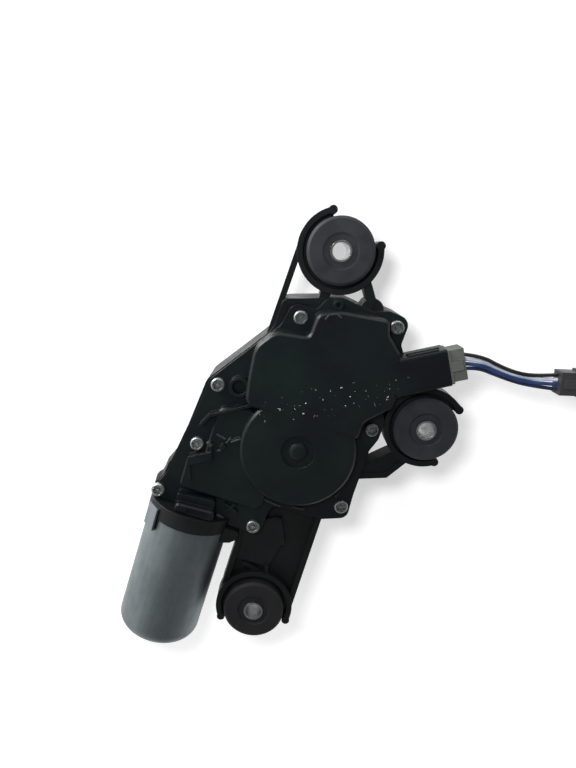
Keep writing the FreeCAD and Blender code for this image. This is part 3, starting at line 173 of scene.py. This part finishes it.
def face_outwards(mesh):
    """Makes every face of a closed mesh point outwards."""
    work = bmesh.new()
    work.from_mesh(mesh)
    bmesh.ops.remove_doubles(work, verts=work.verts, dist=MERGE_DISTANCE)
    bmesh.ops.recalc_face_normals(work, faces=work.faces)
    work.to_mesh(mesh)
    work.free()
    mesh.update()


def closed_piece(name, points, faces, material, smooth=True):
    """A fixed piece from points in millimetres and faces, with its finish."""
    mesh = bpy.data.meshes.new(name)
    mesh.from_pydata((points.reshape(-1, 3) * MM).tolist(), [], faces)
    mesh.update()
    mesh.polygons.foreach_set("use_smooth", np.full(len(mesh.polygons), smooth))
    face_outwards(mesh)
    mesh.materials.append(material)
    piece = bpy.data.objects.new(name, mesh)
    bpy.context.collection.objects.link(piece)
    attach(piece, "root")
    return piece


# Material code

def add(tree, kind, **values):
    """A new node with its settings and constant inputs."""
    node = tree.nodes.new(kind)
    for key, value in values.items():
        if key in node.inputs:
            node.inputs[key].default_value = value
        else:
            setattr(node, key, value)
    return node


def put(tree, value, socket):
    """Gives an input a link from an output, or else a constant."""
    if isinstance(value, bpy.types.NodeSocket):
        tree.links.new(value, socket)
    else:
        socket.default_value = value


def noise(tree, scale, detail, roughness, stretch=None):
    """Noise on object coordinates, in cycles per metre. A stretch multiplies them along each axis."""
    place = add(tree, "ShaderNodeTexCoord").outputs["Object"]
    if stretch:
        mapping = add(tree, "ShaderNodeMapping", Scale=stretch)
        tree.links.new(place, mapping.inputs["Vector"])
        place = mapping.outputs["Vector"]
    node = add(tree, "ShaderNodeTexNoise", Scale=scale, Detail=detail, Roughness=roughness)
    tree.links.new(place, node.inputs["Vector"])
    return node.outputs["Fac"]


def ramp(tree, factor, span, ends):
    """A ramp over a span of a factor, between two ends that are colours or numbers."""
    node = add(tree, "ShaderNodeValToRGB")
    for element, position, end in zip(node.color_ramp.elements, span, ends):
        colour = end if isinstance(end, tuple) else (end, end, end)
        element.position = position
        element.color = (*colour, 1.0)
    tree.links.new(factor, node.inputs["Fac"])
    return node.outputs["Color"]


def mix_colours(tree, factor, first, second, blend="MIX"):
    """A mix of two outputs or colours, by a factor that is an output or a number.

    The mix node's inputs 6 and 7 and its output 2 are the ones for colours."""
    node = add(tree, "ShaderNodeMix", data_type="RGBA", blend_type=blend)
    put(tree, factor, node.inputs[0])
    put(tree, first, node.inputs[6])
    put(tree, second, node.inputs[7])
    return node.outputs[2]


def calculate(tree, operation, first, second):
    """The result of an operation on two outputs or numbers."""
    node = add(tree, "ShaderNodeMath", operation=operation)
    put(tree, first, node.inputs[0])
    put(tree, second, node.inputs[1])
    return node.outputs[0]


def bump(tree, shader, height, strength, depth, edge_radius=0.0):
    """Bump of a depth in millimetres, over normals softened at edges where a radius is given."""
    node = add(tree, "ShaderNodeBump", Strength=strength, Distance=depth * MM)
    tree.links.new(height, node.inputs["Height"])
    if edge_radius:
        soft = add(tree, "ShaderNodeBevel", samples=4, Radius=edge_radius * MM)
        tree.links.new(soft.outputs["Normal"], node.inputs["Normal"])
    tree.links.new(node.outputs["Normal"], shader.inputs["Normal"])


def srgb(screen):
    """A colour given as screen values from 0 to 255, in linear light."""
    values = np.array(screen) / 255.0
    linear = np.where(values <= 0.04045, values / 12.92, ((values + 0.055) / 1.055) ** 2.4)
    return tuple(float(v) for v in linear)


def new_material(name):
    """A material with a Principled shader, and its node tree and shader."""
    material = bpy.data.materials.new(name)
    material.use_nodes = True
    tree = material.node_tree
    return material, tree, tree.nodes["Principled BSDF"]


def finish_shader(tree, shader, tone, gloss, specular=None):
    """Links a colour and a roughness into the shader, and may set how strongly it mirrors."""
    tree.links.new(tone, shader.inputs["Base Color"])
    tree.links.new(gloss, shader.inputs["Roughness"])
    if specular is not None:
        shader.inputs["Specular IOR Level"].default_value = specular


def scuffed(tree, tone, strength):
    """Pale specks over a tone: noise cut off high up, only where the place lies inside an ellipsoid."""
    place = add(tree, "ShaderNodeTexCoord").outputs["Object"]
    band = add(tree, "ShaderNodeMapping", vector_type="TEXTURE", Location=SCUFF_CENTRE, Rotation=SCUFF_TURN,
               Scale=SCUFF_REACH)
    tree.links.new(place, band.inputs["Vector"])
    reach = add(tree, "ShaderNodeVectorMath", operation="LENGTH")
    tree.links.new(band.outputs["Vector"], reach.inputs[0])
    fleck = noise(tree, scale=420.0, detail=3.0, roughness=0.7)
    fleck_mask = ramp(tree, fleck, span=(0.655, 0.69), ends=(0.0, strength))
    place_mask = ramp(tree, reach.outputs["Value"], span=(0.6, 1.0), ends=(1.0, 0.0))
    mask = mix_colours(tree, 1.0, fleck_mask, place_mask, "MULTIPLY")
    return mix_colours(tree, mask, tone, (*srgb(SCUFF_COLOUR), 1.0))


# Materials, with depths and edge radii in millimetres

def moulded(name, dark, pale, rough, grain, depth, edge_radius, scuffs=0.0):
    """Moulded plastic: a fine spark-eroded grain, cloudy colour, dusty patches and pale specks."""
    material, tree, shader = new_material(name)
    cloud = noise(tree, scale=28.0, detail=6.0, roughness=0.6)
    tone = ramp(tree, cloud, span=(0.35, 0.68), ends=(srgb(dark), srgb(pale)))
    if scuffs:
        tone = scuffed(tree, tone, scuffs)
    smear = noise(tree, scale=60.0, detail=5.0, roughness=0.6)
    finish_shader(tree, shader, tone, ramp(tree, smear, span=(0.3, 0.7), ends=rough), specular=0.34)
    fine = noise(tree, scale=grain, detail=3.0, roughness=0.6)
    bump(tree, shader, fine, strength=0.5, depth=depth, edge_radius=edge_radius)
    return material


def steel(name, dark, pale, rough, streak=(1.0, 1.0, 1.0), scale=240.0, depth=0.03):
    """Plated steel: streaks drawn out along one way, a mottled plating and fine scratches."""
    material, tree, shader = new_material(name)
    lines = noise(tree, scale=scale, detail=5.0, roughness=0.65, stretch=streak)
    cloud = noise(tree, scale=45.0, detail=4.0, roughness=0.6)
    both = mix_colours(tree, 0.5, lines, cloud)
    tone = ramp(tree, both, span=(0.38, 0.62), ends=(srgb(dark), srgb(pale)))
    finish_shader(tree, shader, tone, ramp(tree, both, span=(0.35, 0.65), ends=rough[::-1]))
    shader.inputs["Metallic"].default_value = 1.0
    bump(tree, shader, lines, strength=0.4, depth=depth, edge_radius=0.2)
    return material


def rubber(name, dark, pale):
    """Moulded rubber: matt and slightly bloomed."""
    material, tree, shader = new_material(name)
    cloud = noise(tree, scale=90.0, detail=6.0, roughness=0.65)
    tone = ramp(tree, cloud, span=(0.32, 0.7), ends=(srgb(dark), srgb(pale)))
    finish_shader(tree, shader, tone, ramp(tree, cloud, span=(0.3, 0.7), ends=(0.55, 0.72)), specular=0.4)
    fine = noise(tree, scale=1500.0, detail=4.0, roughness=0.6)
    bump(tree, shader, fine, strength=0.5, depth=0.08, edge_radius=0.4)
    return material


def insulation(name, dark, pale):
    """Wire insulation: smooth extruded plastic with slight smears."""
    material, tree, shader = new_material(name)
    cloud = noise(tree, scale=160.0, detail=3.0, roughness=0.5)
    tone = ramp(tree, cloud, span=(0.35, 0.65), ends=(srgb(dark), srgb(pale)))
    finish_shader(tree, shader, tone, ramp(tree, cloud, span=(0.3, 0.7), ends=(0.3, 0.45)))
    fine = noise(tree, scale=900.0, detail=2.0, roughness=0.5)
    bump(tree, shader, fine, strength=0.3, depth=0.02)
    return material


COVER_BLACK = moulded("cover plastic", dark=(7, 9, 14), pale=(11, 21, 19), rough=(0.36, 0.52), grain=2400.0,
                      depth=0.05, edge_radius=0.7, scuffs=0.9)
# Painted highlight: the lid's small ridges get a pale plastic that stands in for the light on their edges
PAINTED_HIGHLIGHT_PLASTIC = moulded("plastic painted pale as highlight", dark=(26, 32, 32), pale=(58, 64, 62), rough=(0.4, 0.55),
                         grain=1200.0, depth=0.05, edge_radius=0.3)
HOUSING_BLACK = moulded("housing plastic", dark=(9, 11, 12), pale=(18, 22, 22), rough=(0.36, 0.54),
                        grain=1900.0, depth=0.07, edge_radius=0.6)
SOCKET_GREY = moulded("plug plastic", dark=(72, 75, 72), pale=(96, 99, 94), rough=(0.42, 0.6),
                      grain=2600.0, depth=0.04, edge_radius=0.4)
CONNECTOR_BLACK = moulded("end connector plastic", dark=(36, 36, 38), pale=(58, 58, 60), rough=(0.3, 0.5),
                          grain=2600.0, depth=0.04, edge_radius=0.4)
GEAR_PLASTIC = moulded("gear plastic", dark=(214, 210, 196), pale=(232, 229, 218), rough=(0.35, 0.5),
                       grain=1200.0, depth=0.03, edge_radius=0.3)
BOARD_GREEN = moulded("board lacquer", dark=(22, 66, 40), pale=(36, 92, 58), rough=(0.25, 0.4),
                      grain=800.0, depth=0.03, edge_radius=0.2)
PART_BLACK = moulded("component plastic", dark=(24, 24, 26), pale=(40, 40, 43), rough=(0.3, 0.45),
                     grain=1400.0, depth=0.03, edge_radius=0.3)
CARD_BROWN = moulded("brush card plastic", dark=(70, 50, 36), pale=(96, 72, 52), rough=(0.45, 0.6),
                     grain=1400.0, depth=0.04, edge_radius=0.3)
FERRITE = moulded("magnet ferrite", dark=(44, 44, 47), pale=(62, 62, 66), rough=(0.5, 0.65),
                  grain=900.0, depth=0.05, edge_radius=0.4)

CAN_STEEL = steel("can steel", dark=(132, 142, 145), pale=(154, 163, 166), rough=(0.44, 0.54),
                  streak=(1.6, 0.3, 1.6), scale=90.0, depth=0.01)
SCREW_STEEL = steel("screw steel", dark=(158, 166, 165), pale=(206, 212, 210), rough=(0.34, 0.48))
SLEEVE_STEEL = steel("sleeve steel", dark=(160, 164, 165), pale=(214, 216, 217), rough=(0.2, 0.38))
SHAFT_STEEL = steel("shaft steel", dark=(150, 152, 154), pale=(196, 198, 200), rough=(0.18, 0.35),
                    streak=(4.0, 4.0, 0.6))
CORE_STEEL = steel("core steel", dark=(90, 92, 96), pale=(130, 132, 136), rough=(0.4, 0.55),
                   streak=(1.0, 14.0, 1.0), scale=300.0)
BRONZE = steel("sintered bronze", dark=(128, 96, 52), pale=(170, 130, 76), rough=(0.45, 0.6), scale=900.0)
COPPER = steel("winding copper", dark=(140, 74, 36), pale=(196, 112, 62), rough=(0.3, 0.45), scale=700.0)
CONTACT_BRASS = steel("contact brass", dark=(170, 150, 96), pale=(214, 196, 140), rough=(0.25, 0.4))

GROMMET_RUBBER = rubber("grommet rubber", dark=(29, 30, 33), pale=(40, 41, 45))
# Painted shade: the lower grommet gets a darker copy of the grommet rubber, standing in for the shade it
# lies in
SHADED_GROMMET_RUBBER = rubber("grommet rubber with painted shade", dark=(20, 20, 22), pale=(29, 29, 31))
SEAL_RUBBER = rubber("seal rubber", dark=(24, 24, 25), pale=(36, 36, 38))

WIRE_FINISHES = {
    "wire_black": insulation("black insulation", dark=(18, 18, 20), pale=(34, 34, 38)),
    "wire_white": insulation("white insulation", dark=(160, 168, 184), pale=(196, 202, 212)),
    "wire_blue": insulation("blue insulation", dark=(26, 42, 82), pale=(42, 62, 106)),
    "wire_dark_blue": insulation("dark blue insulation", dark=(16, 26, 50), pale=(30, 42, 74))}

NODE_FINISHES = {
    "gear_housing": HOUSING_BLACK, "gear_cover": COVER_BLACK, "cover_gasket": SEAL_RUBBER,
    "cover_screws": SCREW_STEEL, "motor_can": CAN_STEEL, "can_clips": CAN_STEEL, "magnets": FERRITE,
    "rear_bush_holder": SHAFT_STEEL, "rear_bush": BRONZE, "front_bush": BRONZE, "tip_bush": BRONZE,
    "thrust_pad": GEAR_PLASTIC, "brush_card": CARD_BROWN, "carbon_brushes": FERRITE,
    "brush_springs": SHAFT_STEEL, "lamination_stack": CORE_STEEL, "armature_windings": COPPER,
    "commutator": COPPER, "armature_shaft": SHAFT_STEEL, "idler_axle": SHAFT_STEEL,
    "intermediate_gear": GEAR_PLASTIC, "output_gear": GEAR_PLASTIC, "output_shaft": SHAFT_STEEL,
    "upper_output_bush": BRONZE, "lower_output_bush": BRONZE, "shaft_seal": SEAL_RUBBER,
    "thrust_washer": SHAFT_STEEL, "retaining_ring": SHAFT_STEEL, "circuit_board": BOARD_GREEN,
    "board_parts": PART_BLACK, "connector_pins": CONTACT_BRASS, "connector_plug": SOCKET_GREY,
    "end_connector": CONNECTOR_BLACK, "upper_grommet": GROMMET_RUBBER, "side_grommet": GROMMET_RUBBER,
    "lower_grommet": SHADED_GROMMET_RUBBER, "upper_sleeve": SLEEVE_STEEL, "side_sleeve": SLEEVE_STEEL,
    "lower_sleeve": SLEEVE_STEEL}


def finish_nodes():
    """Gives each CAD node its finish."""
    for node, material in NODE_FINISHES.items():
        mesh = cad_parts[node].data
        mesh.materials.clear()
        mesh.materials.append(material)


# Pieces on the lid and the case

def recess_lobes(radius, height, around):
    """Six lobes round the recess: the radius grows by a share of the cosine of six times the angle."""
    inside = (radius > LOBE_RADII[0]) & (radius < LOBE_RADII[1])
    inside &= (height > LOBE_HEIGHTS[0]) & (height < LOBE_HEIGHTS[1])
    return np.where(inside, radius * (1 + LOBE_SHARE * np.cos(LOBES * around)), radius)


def make_cover_screws():
    """Eight screws turned from one profile: shank, flanged head, lobed recess and the pin in its middle."""
    corners = SCREW_SHANK + SCREW_HEAD + SCREW_RECESS + SCREW_PIN
    profile = rounded_profile(corners, SCREW_FILLET_STEPS)
    radius, height, around = turned_grid(profile, SCREW_SEGMENTS)
    screw = turned_points(recess_lobes(radius, height, around), height, around)
    count = len(profile) * SCREW_SEGMENTS
    places = np.array([(x, y, SCREW_SEAT) for x, y in SCREW_PLACES])
    points = places[:, None, :] + screw.reshape(-1, 3)
    faces = [[index + count * number for index in face] for number in range(len(places))
             for face in ring_faces(len(profile), SCREW_SEGMENTS)]
    screws = closed_piece("cover_screws_turned", points, faces, SCREW_STEEL)
    screws.data.set_sharp_from_angle(angle=math.radians(SCREW_SHARP_ANGLE))
    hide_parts("cover_screws")


def make_button_cap():
    """The domed cap in the middle of the cover's round dimple, turned from one profile."""
    profile = rounded_profile(CAP_PROFILE, CAP_FILLET_STEPS)
    points = turned_points(*turned_grid(profile, CAP_SEGMENTS))
    closed_piece("button_cap", points, ring_faces(len(profile), CAP_SEGMENTS), COVER_BLACK)


def ringed_piece(name, rings, material):
    """A closed piece with flat faces, from rings of points that are each joined to the next."""
    closed_piece(name, rings, ring_faces(*rings.shape[:2]), material, smooth=False)


def level_ring(corners, height):
    """Corners in plan, all at one height."""
    return np.column_stack([corners, np.full(len(corners), height)])


def make_socket_ribs():
    """Two guide ribs along the socket's upper side: a rounded D-shaped section drawn straight out.

    Its reach is the thickness times a power of a half turn's sine, and both ends are drawn in."""
    turn = math.radians(SOCKET_ANGLE)
    way = np.array([math.cos(turn), math.sin(turn), 0.0])
    side = np.array([-way[1], way[0], 0.0])
    up = np.array([0.0, 0.0, 1.0])
    arc = np.linspace(0, np.pi, RIB_STEPS)
    shrink = np.array([RIB_END_SHARE, 1.0, 1.0, RIB_END_SHARE])[:, None]
    for name, height, thickness, reach in SOCKET_RIBS:
        out = np.concatenate([np.sin(arc) ** RIB_BLUNTNESS * thickness, [-RIB_SUNK, -RIB_SUNK]]) * shrink
        rise = np.concatenate([-np.cos(arc), [1.0, -1.0]]) * RIB_HALF_HEIGHT * shrink
        along = np.array([RIB_START, RIB_START + RIB_END_LENGTH, reach - RIB_END_LENGTH, reach])
        root = np.array([*SOCKET_ROOT, height]) + side * SOCKET_WIDTH / 2
        rings = root + along[:, None, None] * way + out[:, :, None] * side + rise[:, :, None] * up
        ringed_piece(name, rings, COVER_BLACK)


def make_corner_plates():
    """Two flat plates on the case: an outline carried up, then drawn in a little at the top edge."""
    for name, outline, low, high in CORNER_PLATES:
        corners = np.array(outline, float)
        middle = corners.mean(axis=0)
        top = middle + (corners - middle) * PLATE_TOP_SHARE
        rings = [level_ring(corners, low), level_ring(corners, high - PLATE_EDGE), level_ring(top, high)]
        ringed_piece(name, np.array(rings), HOUSING_BLACK)


def ridge_rings(start, end, width, foot, rise):
    """Three rings from the foot to the crest, each a narrower and shorter rectangle along one line."""
    first, last = np.array(start, float), np.array(end, float)
    along = (last - first) / np.linalg.norm(last - first)
    across = np.array([-along[1], along[0]]) * width / 2
    heights = (foot, foot + rise - RIDGE_SHOULDER_DEPTH, foot + rise)
    rings = []
    for height, share, inset in zip(heights, RIDGE_SHARES, RIDGE_INSETS):
        near, far = first + along * inset, last - along * inset
        side = across * share
        rings.append(level_ring(np.array([near - side, far - side, far + side, near + side]), height))
    return np.array(rings)


def make_small_ridges():
    """Low ridges on the lid: straight bars with sloping sides, wider at the foot than at the crest, in a
    pale plastic that is a painted highlight.
    """
    ridges = [(*ridge[:3], foot, ridge[3]) for foot, group in SMALL_RIDGES for ridge in group]
    for number, ridge in enumerate(ridges, 1):
        ringed_piece("small_ridge_%d" % number, ridge_rings(*ridge), PAINTED_HIGHLIGHT_PLASTIC)


# Harness wires

def wire_way(i):
    """The direction in plan at a point of the route: that of its neighbours, or the set one at an end."""
    if i == 0:
        turn = math.radians(WIRE_START_ANGLE)
        way = Vector((math.cos(turn), math.sin(turn)))
    elif i == len(WIRE_ROUTE) - 1:
        way = Vector(WIRE_END_DIRECTION)
    else:
        behind, ahead = WIRE_ROUTE[i - 1], WIRE_ROUTE[i + 1]
        way = Vector((ahead[0] - behind[0], ahead[1] - behind[1]))
    return way.normalized()


def wire_points(order):
    """The route of one wire, beside the others."""
    points = []
    for i, (x, y, z) in enumerate(WIRE_ROUTE):
        way = wire_way(i)
        side = ((len(WIRE_FINISHES) - 1) / 2 - order) * WIRE_SPREAD[i]
        points.append((x - way.y * side, y + way.x * side, z - WIRE_SAG[i] * WIRE_DROPS[order]))
    return points


def wire_curve(name, route):
    """A smooth round curve that is drawn to the points of a route."""
    curve = bpy.data.curves.new(name, "CURVE")
    curve.dimensions = "3D"
    curve.bevel_depth = WIRE_DIAMETER / 2 * MM
    curve.bevel_resolution = WIRE_ROUND_STEPS
    curve.resolution_u = WIRE_LONG_STEPS
    curve.use_fill_caps = True
    spline = curve.splines.new("NURBS")
    spline.points.add(len(route) - 1)
    for point, place in zip(spline.points, route):
        point.co = (*place, 1.0)
    spline.order_u = 3
    spline.use_endpoint_u = True
    return curve


def curve_length(curve):
    """The length of a curve's middle line: the sum of its steps."""
    bare = curve.copy()
    bare.bevel_depth = 0
    probe = bpy.data.objects.new("probe", bare)
    bpy.context.collection.objects.link(probe)
    bpy.context.view_layer.update()
    line = bpy.data.meshes.new_from_object(probe.evaluated_get(bpy.context.evaluated_depsgraph_get()))
    places = np.array([vertex.co[:] for vertex in line.vertices])
    length = float(np.linalg.norm(np.diff(places, axis=0), axis=1).sum())
    bpy.data.objects.remove(probe)
    bpy.data.meshes.remove(line)
    bpy.data.curves.remove(bare)
    return length


def make_wires():
    """One smooth curve per wire."""
    for order, (node, finish) in enumerate(WIRE_FINISHES.items()):
        route = np.array(wire_points(order)) * MM
        curve = wire_curve(node + "_cord", route)
        curve.materials.append(finish)
        cord = bpy.data.objects.new(node + "_cord", curve)
        bpy.context.collection.objects.link(cord)
        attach(cord, "root")
        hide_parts(node)
        curve_length(curve)


# Camera, floor and light

def make_camera():
    """The camera at the photograph's viewing angle."""
    data = bpy.data.cameras.new("camera")
    data.sensor_width = SENSOR
    data.lens = FOCAL_PIXELS / IMAGE_HEIGHT * SENSOR
    data.clip_start = CAMERA_NEAR
    camera = bpy.data.objects.new("camera", data)
    bpy.context.collection.objects.link(camera)
    turn = Matrix.Rotation(math.radians(CAMERA_TURN), 4, "Z")
    tilt = Matrix.Rotation(math.radians(CAMERA_TILT), 4, "X")
    roll = Matrix.Rotation(math.radians(CAMERA_ROLL), 4, "Y")
    place = Matrix.Translation(Vector(CAMERA_PLACE) * MM)
    camera.matrix_world = place @ turn @ tilt @ roll
    bpy.context.scene.camera = camera


def seen_directly(tree):
    """1 for camera and transmission rays, the mirrored share for glossy rays, and 0 for the rest."""
    path = add(tree, "ShaderNodeLightPath")
    level = calculate(tree, "MULTIPLY", path.outputs["Is Glossy Ray"], FLOOR_MIRRORED)
    for name in ("Is Camera Ray", "Is Transmission Ray"):
        level = calculate(tree, "MAXIMUM", level, path.outputs[name])
    return level


def floor_glow(tree):
    """The glow that evens out the floor: the least glow plus the rise times one less the fourth power of c.

    There c is the lamp's height over its slant distance to the floor."""
    coords = add(tree, "ShaderNodeTexCoord")
    away = add(tree, "ShaderNodeVectorMath", operation="DISTANCE")
    tree.links.new(coords.outputs["Object"], away.inputs[0])
    away.inputs[1].default_value = (KEY_PLACE[0] * MM, KEY_PLACE[1] * MM, FLOOR_Z * MM)
    value = away.outputs["Value"]
    steps = [("DIVIDE", (KEY_PLACE[2] - FLOOR_Z) * MM), ("POWER", 2.0), ("ADD", 1.0), ("POWER", -2.0),
             ("MULTIPLY", -FLOOR_GLOW_RISE), ("ADD", FLOOR_GLOW + FLOOR_GLOW_RISE)]
    for operation, number in steps:
        value = calculate(tree, operation, value, number)
    return value


def floor_material():
    """Pale paper that takes the shadow, with a glow added where it is seen directly."""
    material, tree, shader = new_material("floor paper")
    tree.nodes.remove(shader)
    paper = add(tree, "ShaderNodeBsdfDiffuse", Color=(FLOOR_GREY, FLOOR_GREY, FLOOR_GREY, 1.0))
    glow = add(tree, "ShaderNodeEmission")
    strength = calculate(tree, "MULTIPLY", seen_directly(tree), floor_glow(tree))
    tree.links.new(strength, glow.inputs["Strength"])
    both = add(tree, "ShaderNodeAddShader")
    tree.links.new(paper.outputs[0], both.inputs[0])
    tree.links.new(glow.outputs[0], both.inputs[1])
    tree.links.new(both.outputs[0], tree.nodes["Material Output"].inputs["Surface"])
    return material


def make_floor():
    """A plain pale floor."""
    mesh = bpy.data.meshes.new("floor")
    corners = [(-FLOOR_REACH, -FLOOR_REACH), (FLOOR_REACH, -FLOOR_REACH), (FLOOR_REACH, FLOOR_REACH),
               (-FLOOR_REACH, FLOOR_REACH)]
    mesh.from_pydata([(x, y, FLOOR_Z * MM) for x, y in corners], [], [(0, 1, 2, 3)])
    mesh.materials.append(floor_material())
    floor = bpy.data.objects.new("floor", mesh)
    bpy.context.collection.objects.link(floor)


def make_world():
    """White where it is seen. Elsewhere the sky is bright at the horizon and dim high up a tilted axis."""
    world = bpy.data.worlds.new("studio")
    world.use_nodes = True
    bpy.context.scene.world = world
    tree = world.node_tree
    background = tree.nodes["Background"]
    background.inputs["Color"].default_value = (1.0, 1.0, 1.0, 1.0)
    coords = add(tree, "ShaderNodeTexCoord")
    height = add(tree, "ShaderNodeVectorMath", operation="DOT_PRODUCT")
    tree.links.new(coords.outputs["Generated"], height.inputs[0])
    height.inputs[1].default_value = SKY_AXIS
    sky = add(tree, "ShaderNodeMapRange", **{"From Min": SKY_LOW, "From Max": SKY_HIGH,
                                             "To Min": SKY_HORIZON, "To Max": SKY_ZENITH})
    tree.links.new(height.outputs["Value"], sky.inputs["Value"])
    path = add(tree, "ShaderNodeLightPath")
    level = add(tree, "ShaderNodeMix")
    put(tree, path.outputs["Is Camera Ray"], level.inputs[0])
    put(tree, sky.outputs["Result"], level.inputs[2])
    put(tree, 1.0, level.inputs[3])
    tree.links.new(level.outputs[0], background.inputs["Strength"])


def area_light(name, place, aim, size, power, in_reflections=True):
    """A soft square lamp that points at a place, in millimetres and watts."""
    data = bpy.data.lights.new(name, "AREA")
    data.shape = "SQUARE"
    data.size = size * MM
    data.energy = power
    lamp = bpy.data.objects.new(name, data)
    bpy.context.collection.objects.link(lamp)
    lamp.location = Vector(place) * MM
    way = Vector(aim) - Vector(place)
    lamp.rotation_euler = way.to_track_quat("-Z", "Y").to_euler()
    lamp.visible_glossy = in_reflections


finish_nodes()
make_cover_screws()
make_button_cap()
make_socket_ribs()
make_corner_plates()
make_small_ridges()
make_wires()

make_camera()
make_floor()
make_world()
area_light("key", KEY_PLACE, (*KEY_PLACE[:2], 0), KEY_SIZE, KEY_POWER, in_reflections=False)
area_light("side", SIDE_PLACE, FILL_AIM, FILL_SIZE, SIDE_POWER)
area_light("back", BACK_PLACE, FILL_AIM, FILL_SIZE, BACK_POWER)

bpy.context.scene.view_settings.view_transform = "Standard"
